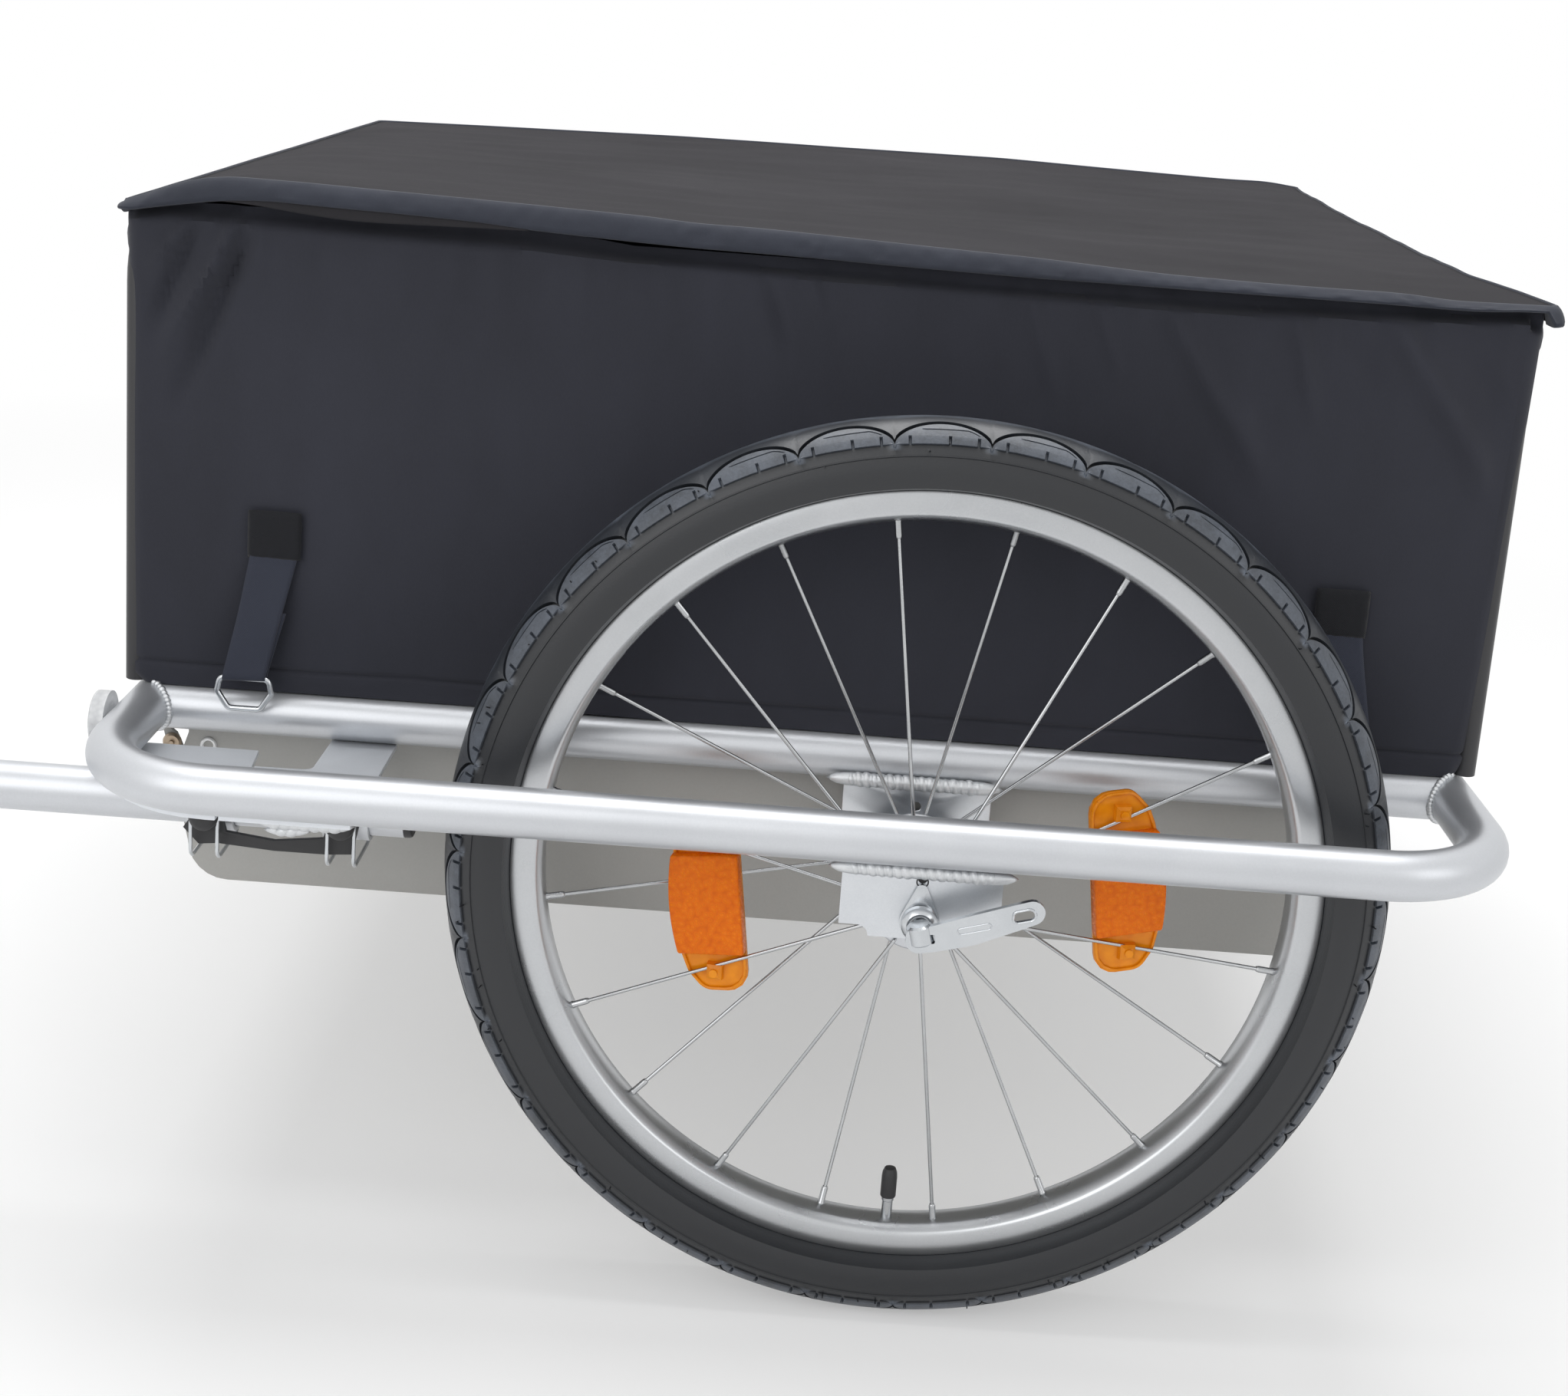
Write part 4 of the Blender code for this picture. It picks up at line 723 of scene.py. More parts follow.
def lens_finish(name, rough, dark, light, bump, depth, **sockets):
    """See-through plastic with a fine pattern of cells in its relief; the same cells paint lighter prism
    glints into its colour. Returns what drives its parts too.
    """
    made, tree, shader = new_finish(name, rough, 0.0, **sockets)
    place = new_node(tree, "TexCoord").outputs["Object"]
    cells = new_node(tree, "TexVoronoi", {"Vector": place, "Scale": 420.0}, feature="F1")
    cells = cells.outputs["Distance"]
    tones_and_relief(tree, shader, cells, dark, light, cells, bump, depth)
    return made, tree, shader, cells


# Lighter cell centres on the orange lenses are painted prism glints.
orange, tree, shader, cells = lens_finish(
    "orange_lens", 0.22, (0.92, 0.215, 0.004), (0.72, 0.125, 0.003), 0.5, 0.0006,
    Transmission_Weight=0.15, IOR=1.45, Specular_IOR_Level=0.12)
tree.links.new(maths(tree, "MULTIPLY_ADD", cells, 0.2, 0.18), shader.inputs["Roughness"])
amber, tree, shader = new_finish("amber_clip", 0.18, 0.0, Transmission_Weight=0.1, IOR=1.45,
                                 Specular_IOR_Level=0.3)
place = new_node(tree, "TexCoord").outputs["Object"]
cloud = new_node(tree, "TexNoise", {"Vector": place, "Scale": 160.0, "Detail": 3.0})
tones_and_relief(tree, shader, cloud.outputs[0], (0.66, 0.17, 0.003), (0.98, 0.36, 0.008))
half_long, half_wide, clip_start = 0.049, 0.019, 0.027


def rim_side(v, inset):
    """Outer edge of a reflector, curved like the rim."""
    return half_wide - inset - v * v / 0.262


def lens_outline(start, stop):
    """Lens outline as (radial, tangential) points."""
    steps = [start + (stop - start) * k / 24 for k in range(25)]
    return [(rim_side(v, 0), v) for v in steps] + [(-half_wide, stop), (-half_wide, start)]


def clip_outline(inset=0.0):
    """Whole reflector outline with its round ends."""
    end, inner, shoulder = half_long - inset, inset - half_wide, 0.013 - inset
    corners = [(inner, -end, 0.011), (0.0045, -end, 0.008), (shoulder, -0.0385, 0.006)]
    corners += [(rim_side(k / 100, inset), k / 100, 0.0) for k in range(-3, 4)]
    corners += [(shoulder, 0.0385, 0.006), (0.0045, end, 0.008), (inner, end, 0.011)]
    return rounded(corners, 4)


def draw_wire(line, radius):
    """Thin wire along each side of a closed line of points."""
    for here, following in zip(line, line[1:] + line[:1]):
        draw_tube([here, following], radius, 0.001, 8)


tilt = radians(11.9)
lens_r, lens_y = 0.108, 0.017
back_depth, clip_thick, lens_thick = 0.004, 0.0026, 0.0088
plug_cover = mm((0, 0), (6.2, 0), (5.6, 3.4), (3.4, 4.6), (0, 4.8))
plug_core = mm((0, 0), (2.6, 0), (2.2, 5.8), (0, 6))
for place_name, spoke in (("front", 15), ("rear", 5)):
    angle = radians(first_spoke + spoke_step * spoke)
    spoke_way = Vector((cos(angle), 0, sin(angle)))
    out = spoke_way * cos(tilt) - Vector((0, sin(tilt), 0))
    normal = spoke_way * sin(tilt) + Vector((0, cos(tilt), 0))
    tangent = normal.cross(out)
    face = centre + spoke_way * lens_r + Vector((0, lens_y, 0))

    def on_face(u, v, face=face, out=out, tangent=tangent):
        return face + out * u + tangent * v

    def on_back(u, v, normal=normal, on_face=on_face):
        return on_face(u, v) - normal * back_depth

    clip = cut_plate(f"reflector_clip_{place_name}_left", [clip_outline()], on_back,
                    normal * clip_thick)
    ease(clip, 0.0005)
    bpy.ops.object.mode_set(mode="EDIT")
    draw_wire([on_face(u, v) - normal * 0.001 for u, v in clip_outline(0.0012)], 0.0009)
    for end in (-1, 1):
        middle = on_face(-0.002, end * 0.0375) - normal * 0.0013
        draw_turned(middle, normal, plug_cover, 4)
        draw_turned(middle, normal, plug_core, 16)
    finished(clip, amber, "wheel_left", "orange_lens", f"spoke_reflector_{place_name}_left")
    lens_block = cut_plate(f"reflector_lens_{place_name}_left",
                           [lens_outline(-clip_start, clip_start)], on_back, normal * lens_thick)
    ease(lens_block, 0.0012, 3)
    finished(lens_block, orange, "wheel_left", "orange_lens")

# Valve. A short metal stem out of the rim under a black cap with a pale band.
cap_rubber = metal_finish("cap_rubber", (0.012, 0.012, 0.013), (0.03, 0.03, 0.032), 0.5, metallic=0.0,
                          patch=90.0, grain_scale=1500.0, bump=0.15)
upward = (0, 0, 1)
valve_foot = centre - Vector(upward) * 0.1932
stem = mm((0, -2), (2.9, -2), (2.9, 9.5), (3.4, 10), (3.4, 12.5), (2.9, 13), (0, 13))
cap = mm((0, 12), (4, 12), (4.2, 12.5), (4.2, 23.5), (3.9, 26.2), (3, 28.4), (0, 28.9))
lathe("valve_stem_left", valve_foot, upward, stem, 20, bright_steel, "wheel_left",
      "black_plastic", "valve_left")
lathe("valve_cap_left", valve_foot, upward, cap, 20, cap_rubber, "wheel_left", "black_plastic")

# Quick releases. A skewer with a turned head runs through the axle; a cam lever clamps it
# on one end over a hooked washer, and a knurled nut closes the other end.
plated = metal_finish("plated_zinc", (0.44, 0.46, 0.48), (0.66, 0.68, 0.7), 0.22, patch=45.0,
                      grain_scale=1500.0, bump=0.03)
fit_gap, washer_thick = 0.0003, 0.002
head_y = plate_out + fit_gap + washer_thick + fit_gap
skewer_end = -plate_out - 0.0133
skewer_head = mm((0, 5.8), (5.2, 5.6), (6, 6.2), (6.8, 6.4), (8, 5.6), (9.2, 4), (9.5, 1.2), (9, 0.1),
                 (2.5, 0))
skewer = [(radius, head_y + height) for radius, height in skewer_head]
skewer += [(0.0025, skewer_end + 0.0003), (0.0022, skewer_end), (0, skewer_end)]
lathe("skewer_rod_left", centre, across_wheel, skewer, 40, plated, "frame", "steel", "skewer_left")


def arc(radius, start, sweep, steps, up=0.0):
    """Points of an arc, its start and sweep given in degrees."""
    angles = [radians(start + sweep * k / steps) for k in range(steps + 1)]
    return [(radius * cos(angle), up + radius * sin(angle)) for angle in angles]


def on_washer(u, v):
    return at(u, wheel_y + plate_out + fit_gap, axle.z + v)


washer_outline = arc(0.01, 165, 210, 20) + arc(0.003, 20, 140, 8, 0.0168)
washer = cut_plate("hook_washer_plate_left", [washer_outline, arc(0.0028, 0, 345, 23)], on_washer,
                   Vector((0, washer_thick, 0)))
ease(washer, 0.0005)
finished(washer, plated, "frame", "steel", "hook_washer_left")
# A black disc sunk in the dropout under the washer's tip is painted shade of the peg hole.
hole_shade_disc = mm((0, 0.4), (2.2, 0.4), (2.6, 1.4), (3.1, 1.4), (3.3, 0.6), (0, -0.4))
lathe("hook_hole_left", at(0, wheel_y + plate_out - 0.001, axle.z + 0.0204), across_wheel, hole_shade_disc,
      28, cap_rubber, "frame", "steel")
nut = mm((2.8, 54.6), (8, 54.7), (8.5, 55.1), (8.5, 59.3), (8, 60), (7.2, 60.4), (7, 65), (6.2, 65.6),
         (2.8, 65.6))
lathe("skewer_nut_turned_left", centre, (0, -1, 0), nut, 48, plated, "skewer_nut_left", "steel",
      "skewer_nut_left", closed=True)

lever_y, lever_out, lever_lean = 0.4754, 0.001, 0.045
pivot = at(0, lever_y, axle.z)
outer_edge = mm((7.2, -3.5, 4), (6.8, 3, 3.5), (0, 4, 4), (-25, 13.7, 20), (-44.5, 20.8, 20),
                (-58, 25.5, 6), (-60, 14, 6.5), (-50, 9, 20), (-26.4, -1.9, 20), (-7.8, -7.2, 10),
                (6, -10, 6.5))
fork_window = rounded(mm((4.5, 0.2, 1), (-6.9, 1.8, 1), (-7.3, -3, 1), (4.2, -4.5, 1)), 3)
tip_window = rounded(mm((-44, 17, 2), (-54.5, 20.3, 3), (-55, 14, 3), (-44, 10.8, 2)), 4)
middle_slot = rounded(mm((-18, 5.8, 1.4), (-34, 10.6, 1.4), (-33.6, 7.2, 1.4), (-17.6, 2.4, 1.4)), 4)


def on_lever(u, v):
    """World point on the lever's back; the blade leans out a little towards its tip."""
    return pivot + Vector((u, lever_out - lever_lean * u, v))


blade = Vector((0, 0.003, 0))
lever = cut_plate("cam_lever_blade_left", [rounded(outer_edge, 6), fork_window, tip_window], on_lever,
                  blade)
ease(lever, 0.0007, 3)
bpy.ops.object.mode_set(mode="EDIT")
for outline, wire in ((middle_slot, 0.00045), (tip_window, 0.0007)):
    draw_wire([on_lever(u, v) + blade for u, v in outline], wire)
barrel = mm((0, -5.2), (5.2, -5.2), (6.4, -4.2))
draw_turned(pivot, Vector((0.24, 0, 0.97)), both_ends(barrel), 28)
finished(lever, plated, "cam_lever_left", "steel", "cam_lever_left")

# Rubber hairs left by the mould stand round the tyre's shoulders.
hairs = begin("tyre_hairs_left")
chance = random.Random(4)
hair_count, hair_r, root_r = 84, 0.00036, section_r - 0.0012
for index in range(hair_count):
    turn = 2 * pi * index / hair_count + chance.uniform(-0.03, 0.03)
    lean = radians(chance.choice((-1, 1)) * chance.uniform(40, 72))
    out, side = Vector((cos(turn), 0, sin(turn))), Vector((0, sin(lean), 0))
    foot = centre + out * (section_centre + root_r * cos(lean)) + side * root_r
    tip = foot + (out * cos(lean) + side) * chance.uniform(0.0022, 0.004)
    tip += Vector((chance.uniform(-1, 1), 0, chance.uniform(-1, 1))) * 0.0008
    draw_tube([foot, tip], hair_r, 0.001, 5)
finished(hairs, rubber, "wheel_left", "tyre", smooth=60, merge=0.000001)

# Tow bar fixture. Two bracket plates under the left rails carry saddles; the bar passes
# through both and lock pins with wire bails and a rubber link hold it there.
bar_z, bar_y = 0.2607, wheel_y
# The brackets get a lighter copy of the plates' aluminium: its lighter tones are painted light from
# above.
bracket_metal = metal_finish("bracket_aluminium", (0.62, 0.65, 0.69), (0.8, 0.82, 0.85), 0.5,
                             metallic=0.45, patch=30.0, grain_scale=1200.0, bump=0.08)
for node in ("bracket_front", "bracket_rear"):
    edged(node, bracket_metal, "aluminium", width=0.0005)
for node in ("bar_saddle_front", "bar_saddle_rear"):
    edged(node, satin_aluminium, "aluminium", width=0.0004)
bar = begin("tow_bar_tube")
bar_start, bar_bend_x, hitch_bend_x, bar_stop = 0.265, 0.6, 0.93, 1.08
hitch_y, hitch_z, bar_bend = 0.12, 0.33, 0.09
draw_tube([at(bar_start, bar_y, bar_z), at(bar_bend_x, bar_y, bar_z),
           at(hitch_bend_x, hitch_y, hitch_z), at(bar_stop, hitch_y, hitch_z)], tube_r, bar_bend, 48)
finished(bar, satin_aluminium, "frame", "aluminium", "tow_bar", smooth=35)
plug = mm((0, 4), (10.8, 4), (11.9, 3.5), (12.4, 2.4), (12.5, 0), (0, 0))
lathe("bar_end_plug", at(bar_start - fit_gap, bar_y, bar_z), (-1, 0, 0), plug, 40, cap_rubber,
      "frame", "black_plastic", "bar_plug")
edged("lanyard", cap_rubber, "black_plastic", width=0.0004)
pin_profile = mm((0, 9), (3.4, 8.9), (4.6, 8.4), (5.3, 7.5), (5.5, 6.2), (5.5, 0.8), (5, 0.1), (4, 0),
                 (4, -38.2), (3.4, -39.6), (2.5, -40.2), (0, -40.2))
boot_profile = mm((0, 12.4), (4, 12.1), (6.2, 10.8), (7.3, 8.6), (7.6, 5), (7.4, 1), (6.8, 0.2),
                  (5.6, 0), (5.6, 10.4), (0, 10.4))
near_y, far_y, low_z, tip_z, half = 0.4281, 0.3844, 0.2372, 0.2527, 0.0068
bail_side = [(near_y, bar_z), (near_y, low_z), (far_y, low_z), (far_y, tip_z)]
pin_places = (("front", 0.364), ("rear", 0.2945))
pin_y, boot_y, bail_r, bail_bend = 0.4236, 0.4226, 0.001, 0.0064
for name, x in pin_places:
    lathe(f"lock_pin_turned_{name}", at(x, pin_y, bar_z), across_wheel, pin_profile, 32, plated,
          f"lock_pin_{name}", "steel", f"lock_pin_{name}")
    bail = begin(f"bail_wire_{name}")
    bail_line = [at(x + half, y, z) for y, z in bail_side]
    bail_line += [at(x - half, y, z) for y, z in reversed(bail_side)]
    draw_tube(bail_line, bail_r, bail_bend, 12, steps=6)
    finished(bail, plated, f"pin_bail_{name}", "steel", f"pin_bail_{name}", smooth=60)
for name, x in pin_places:
    lathe(f"pin_boot_{name}", at(x, boot_y, bar_z), across_wheel, boot_profile, 28, cap_rubber,
          f"lock_pin_{name}", "black_plastic", smooth=50)

lumps = begin("bracket_weld_lumps")
for start, stop, inward, up, count, size, lean, seed in (
        (0.325, 0.286, 0.0068, 0.2724, 9, (0.0044, 0.004, 0.0038), 0.2, 8),
        (0.3215, 0.3075, 0.008, 0.268, 4, (0.0044, 0.0036, 0.0032), 0.4, 9)):
    draw_ripples(at(start, outer_y - inward, up), at(stop, outer_y - inward, up + 0.0004), count,
                 size, lean, seed)
finished(lumps, weld_white, "frame", "aluminium", smooth=80)

# Hitch. A plated swivel plugs in the bar's end; a yoke turns on an upright pin and a
# stepped plate for the bicycle's axle turns on a cross bolt.
for node in ("hitch_swivel", "hitch_yoke", "hitch_coupler", "hitch_pin", "coupler_bolt"):
    edged(node, plated, "steel", segments=3)

# Cover hoops. Thin steel tubes under the cloth keep it square.
painted_tube = metal_finish("painted_tube", (0.02, 0.02, 0.022), (0.035, 0.035, 0.038), 0.4, metallic=0.0,
                            patch=30.0, grain_scale=1100.0, bump=0.05)
hoops = begin("cover_hoop_tubes")
hoop_y, hoop_top, foot = 0.3371, 0.5471, rail_z + tube_r + fit_gap
hoop_front, hoop_rear, hoop_bend = 0.4242, -0.2944, 0.03
hoop_r, top_bar_r = 0.006, 0.0054
for x in (hoop_front, hoop_rear):
    draw_tube([at(x, hoop_y, foot), at(x, hoop_y, hoop_top), at(x, -hoop_y, hoop_top),
               at(x, -hoop_y, foot)], hoop_r, hoop_bend, 20, steps=8)
for y in (hoop_y - hoop_bend, hoop_bend - hoop_y):
    draw_tube([at(hoop_front, y, hoop_top), at(hoop_rear, y, hoop_top)], top_bar_r, hoop_bend, 20)
finished(hoops, painted_tube, "frame", "steel", "cover_hoops", smooth=35)

# Front reflectors. Two pale round lenses on the front of the loop.
# Lighter cell centres on the pale lenses are painted prism glints.
pale = lens_finish("pale_lens", 0.2, (0.9, 0.91, 0.92), (0.74, 0.75, 0.77), 0.2, 0.0004,
                   Transmission_Weight=0.35, IOR=1.49)[0]
lens = mm((0, 7.2), (12, 7), (12.8, 8), (14, 7.9), (14.9, 7), (15, 6), (15, 0), (0, 0))
lathe("front_lens_left", at(loop_front + tube_r + fit_gap, 0.372, rail_z), (1, 0, 0), lens, 48, pale,
      "frame", "pale_lens", "front_reflector_left")

# Cover. Dark woven cloth is stretched over the hoops; its hem hangs on the rails. The wall
# is one strip, sewn at a rear corner, with folds that run down from the lid.
weave, weave_in, weave_out = effect_group(
    "woven_cloth", (("Vector", "NodeSocketVector"), ("Pitch", "NodeSocketFloat")),
    (("Height", "NodeSocketFloat"), ("Cloud", "NodeSocketFloat")))
turns = maths(weave, "DIVIDE", 2 * pi, weave_in.outputs["Pitch"])
parts = new_node(weave, "SeparateXYZ", {0: weave_in.outputs["Vector"]})
waves = [maths(weave, "SINE", maths(weave, "MULTIPLY", parts.outputs[k], turns)) for k in (0, 1)]
threads = maths(weave, "MULTIPLY_ADD", maths(weave, "MULTIPLY", *waves), 0.5, 0.5)
slubs = new_node(weave, "TexNoise", {"Vector": weave_in.outputs["Vector"], "Scale": 600.0, "Detail": 3.0})
weave.links.new(maths(weave, "MULTIPLY_ADD", slubs.outputs[0], 0.6, threads), weave_out.inputs["Height"])
clouds = new_node(weave, "TexNoise", {"Vector": weave_in.outputs["Vector"], "Scale": 5.0, "Detail": 5.0,
        "Roughness": 0.6})
weave.links.new(clouds.outputs[0], weave_out.inputs["Cloud"])


def cloth_finish(name, dark, light, pitch=0.0006, sheen=0.12, shine=0.2):
    """Woven cloth: a fine two-way thread pattern, faint cloudy wear and a soft sheen."""
    made, tree, shader = new_finish(name, 0.85, 0.0, Sheen_Weight=sheen, Sheen_Roughness=0.45,
                                    Specular_IOR_Level=shine)
    flat_place = new_node(tree, "UVMap").outputs[0]
    cloth = new_node(tree, "Group", node_tree=weave)
    tree.links.new(flat_place, cloth.inputs["Vector"])
    cloth.inputs["Pitch"].default_value = pitch
    tone_share = maths(tree, "MULTIPLY", cloth.outputs["Cloud"], 0.8)
    mix = maths(tree, "MULTIPLY_ADD", cloth.outputs["Height"], 0.3, tone_share, clamp=True)
    tones_and_relief(tree, shader, mix, dark, light, cloth.outputs["Height"], 0.35, 0.0003)
    return made


wall_cloth = cloth_finish("wall_cloth", (0.013, 0.0135, 0.0155), (0.044, 0.046, 0.061))
lid_cloth = cloth_finish("lid_cloth", (0.012, 0.0118, 0.013), (0.046, 0.0445, 0.049),
                         sheen=0.02, shine=0.04)
band_cloth = cloth_finish("band_cloth", (0.016, 0.0175, 0.023), (0.044, 0.049, 0.066), pitch=0.0009)
wall_low, wall_top, wall_y, corner_r = 0.3021, 0.5534, 0.3459, 0.01
hem_front, hem_rear, far_ledge = 0.4278, -0.3028, 0.543


def bumps(x, y, z):
    """Soft random height at a place, between minus one and one."""
    return noise.noise(Vector((x, y, z)))


def wall_front(z):
    """Front edge of the wall; it leans out a little towards the lid."""
    return hem_front + 0.0035 * (z - 0.306) / 0.247 - 0.0056 * max(0, (0.307 - z) / 0.005)


def wall_rear(z):
    """Rear edge of the wall, drawn in near the hem."""
    drawn_in = 0.0087 * part_of_one((wall_top - z) / 0.2494) ** 1.6
    return hem_rear + drawn_in + 0.004 * max(0, (0.315 - z) / 0.013) ** 2


# Folds seen on the near wall: upper end, lower end, height and width in millimetres.
near_folds = [
    ((395.8, 538.8), (418.8, 491.4), -2.2, 6), ((370.4, 536.5), (400.5, 461.5), -2.5, 7),
    ((392.7, 548.5), (420.0, 524.4), 2.0, 6), ((370.6, 550.1), (406.0, 488.1), 2.5, 7),
    ((-174.2, 541.8), (-186.3, 498.6), 1.5, 8), ((-224.4, 543.3), (-254.4, 503.6), 2.5, 12),
    ((-254.4, 503.6), (-282.4, 465.4), 2.2, 12), ((-200.3, 539.3), (-222.4, 506.9), -1.2, 10),
    ((-147.2, 495.6), (-164.2, 456.6), 1.5, 12), ((-254.6, 543.3), (-293.7, 489.4), -1.0, 10),
    ((98.9, 538.4), (87.2, 506.9), -1.2, 5), ((76.6, 543.8), (69.5, 523.5), 1.0, 5),
    ((-36.7, 542.7), (-52.5, 496.1), 1.2, 7), ((-73.0, 537.8), (-83.3, 511.8), 1.0, 5),
    ((-108.6, 540.4), (-152.2, 474.5), 1.8, 9),
]
chance = random.Random(11)
far_folds = []
far_fold_count, far_fold_top = 20, 542.0
for index in range(far_fold_count):
    x = chance.uniform(-280, 400)
    lean = chance.uniform(-45, 45)
    drop = chance.uniform(30, 85)
    ends = (x, far_fold_top), (x + lean, far_fold_top - drop)
    far_folds.append((*ends, chance.choice((-1.6, 1.2, 1.8)), chance.uniform(6, 12)))


def fold_height(folds, x, z):
    """How far the cloth stands out of its plane at a place, in metres."""
    total = 0.0
    for (ax, az), (bx, bz), high, wide in folds:
        dx, dz = bx - ax, bz - az
        length = hypot(dx, dz)
        px, pz = x * 1000 - ax, z * 1000 - az
        along = (px * dx + pz * dz) / length
        aside = (px * dz - pz * dx) / length
        if -14 < along < length + 14:
            ends = min(1, (along + 14) / 22) * min(1, (length + 14 - along) / (0.4 * length + 10))
            total += 2.8 * high * ends * exp(-(aside / (0.6 * wide)) ** 2)
    return total / 1000


def along_line(line, where):
    """Height read off a list of measured points, softened over a few millimetres."""
    total = 0.0
    for shift in (-9, -4.5, 0, 4.5, 9):
        spot = min(max(where * 1000 + shift, line[0][0]), line[-1][0])
        for (x0, z0), (x1, z1) in zip(line, line[1:]):
            if spot <= x1:
                total += z0 + (z1 - z0) * (spot - x0) / (x1 - x0)
                break
    return total / 5000


def around(stations, front, rear, half, radius):
    """Box outline with round corners: (x, y, normal x, normal y, side, way to a corner)."""
    inside = [(front - radius, half - radius, 90), (front - radius, radius - half, 0),
              (rear + radius, radius - half, -90), (rear + radius, half - radius, -180)]
    places = []
    for side in range(4):
        before, after = inside[side - 1], inside[side]
        angle = radians(after[2])
        nx, ny = cos(angle), sin(angle)
        run = dist(before[:2], after[:2])
        for step in range(stations[side]):
            share = step / stations[side]
            places.append((before[0] + (after[0] - before[0]) * share + nx * radius,
                           before[1] + (after[1] - before[1]) * share + ny * radius,
                           nx, ny, side, min(share, 1 - share) * run))
        for step in range(6):
            swing = angle - radians(15) * step
            nx, ny = cos(swing), sin(swing)
            places.append((after[0] + nx * radius, after[1] + ny * radius, nx, ny, side, 0.0))
    return places + places[:1]


shade_line = [(-302, 547.9), (-271, 546.4), (-226, 544.3), (-182, 543.0), (-137, 541.4), (0, 542.5),
              (139, 544.9), (300, 546.0), (380, 547.0), (432, 549.5)]
wall_stations = (280, 110, 130, 110)
bulge_z = 0.5395
wall_heights = [wall_low + 0.0011 * k for k in range(15)]
hem_top = wall_heights[-1]
wall_heights += [hem_top + (bulge_z - hem_top) * (k + 1) / 40 for k in range(40)]
wall_heights += [bulge_z + (wall_top - bulge_z) * (k + 1) / 7 for k in range(7)]
wall_rings = [around(wall_stations, wall_front(z), wall_rear(z), wall_y, corner_r) for z in wall_heights]


def wall_place(i, j):
    """Point of the wall: i runs round the trailer from the rear near corner, j runs up."""
    z = wall_heights[j]
    x, y, nx, ny, side, from_corner = wall_rings[j][i]
    if side == 0:
        lift = fold_height(near_folds, x, z)
    else:
        lift = fold_height(far_folds, x if side == 2 else y, z)
    ledge = along_line(shade_line, x) if side == 0 else far_ledge
    step = part_of_one((z - ledge) / 0.0035)
    lean = 0.008 * step * step * (3 - 2 * step) + 0.0015 * max(0, (z - ledge) / 0.01)
    settle = 0.001 * bumps(x * 9, y * 9, z * 9)
    pucker = 0.0016 * bumps(x * 90, y * 90, 3.0) * part_of_one((z - 0.515) / 0.02)
    seam = wall_low + 0.0122 + 0.0008 * bumps(x * 20, y * 20, 1.0)
    hem = -0.0013 * exp(-((z - seam) / 0.0011) ** 2) + 0.0006 * part_of_one((seam - z) / 0.002)
    fade = min(1, from_corner / 0.012)
    out = (lift + pucker) * fade + settle + hem - 0.0012
    open_part = part_of_one((x - 0.17) / 0.05, (0.425 - x) / 0.02) if side == 0 else 0.0
    rise = 0.006 * open_part * max(0, (z - bulge_z) / (wall_top - bulge_z))
    if j < 7:
        rise += 0.0007 * bumps(x * 14, y * 14, 5.0)
    return at(x + nx * out, y + ny * (out - lean * abs(ny)), z + rise)


def cloth_piece(piece, finish, body, *nodes, flat_size, thick=0.0012, smooth=180):
    """Gives a strip its flat size as UV and its thickness inwards, and its finish and body."""
    bpy.ops.object.mode_set(mode="OBJECT")
    for loop_uv in piece.data.uv_layers.active.data:
        loop_uv.uv = (loop_uv.uv[0] * flat_size[0], loop_uv.uv[1] * flat_size[1])
    inward = piece.modifiers.new("thickness", "SOLIDIFY")
    inward.thickness = thick
    inward.offset = -1
    bpy.ops.object.modifier_apply(modifier=inward.name)
    finished(piece, finish, body, "cloth", *nodes, smooth=smooth, turn_out=False)


walls = strip("cover_wall_cloth", len(wall_rings[0]) - 1, len(wall_heights) - 1, wall_place)
edit_all(walls)
bpy.ops.mesh.remove_doubles(threshold=0.0002)
bpy.ops.mesh.flip_normals()
cloth_piece(walls, wall_cloth, "frame", "cover_walls", flat_size=(2.83, 0.251), smooth=60)

# Lid. One sheet lies over the hoops; a folded band is sewn along its edge and overhangs the
# walls. The near edge stands higher than the far one and the rear edge is drawn in.
seam_line = [(-308, 557.5), (-252, 556.4), (-238, 557.6), (-225, 558.5), (-183, 558.3), (-147, 558.5),
             (-104, 559.3), (-75, 560.7), (-39, 562.6), (-3, 563.7), (33, 564.8), (69, 566.1),
             (104, 567.2), (140, 567.4), (159, 568.9), (203, 570.0), (247, 571.2), (290, 572.3),
             (334, 573.5), (377, 574.0), (398, 570.5), (416, 563.0), (433, 556.8)]
edge_line = [(-308, 557.0), (-286, 555.9), (-267, 554.3), (-247, 554.2), (-219, 554.6), (-111, 554.6),
             (-75, 554.8), (-40, 554.7), (-4, 555.2), (32, 555.7), (68, 556.5), (104, 557.0),
             (140, 557.3), (180, 558.6), (224, 560.4), (246, 562.2), (289, 563.6), (320, 564.2),
             (354, 565.2), (380, 563.6), (413, 558.0), (433, 554.0)]
far_line = [(-308, 557.1), (-277, 560.6), (-247, 560.2), (-185, 561.2), (-62, 563.8), (60, 562.7),
            (183, 562.3), (305, 560.1), (434, 557.3)]
rear_line = [(-358, -306.0), (-330, -301.0), (-247, -294.5), (-135, -292.0), (216, -292.0), (296, -304.0),
             (337, -308.0), (358, -309.0)]
lid_front, lid_near, lid_far, lid_rear, rear_over = 0.429, 0.345, -0.345, -0.302, 0.0025
lid_across, lid_along = 170, 130


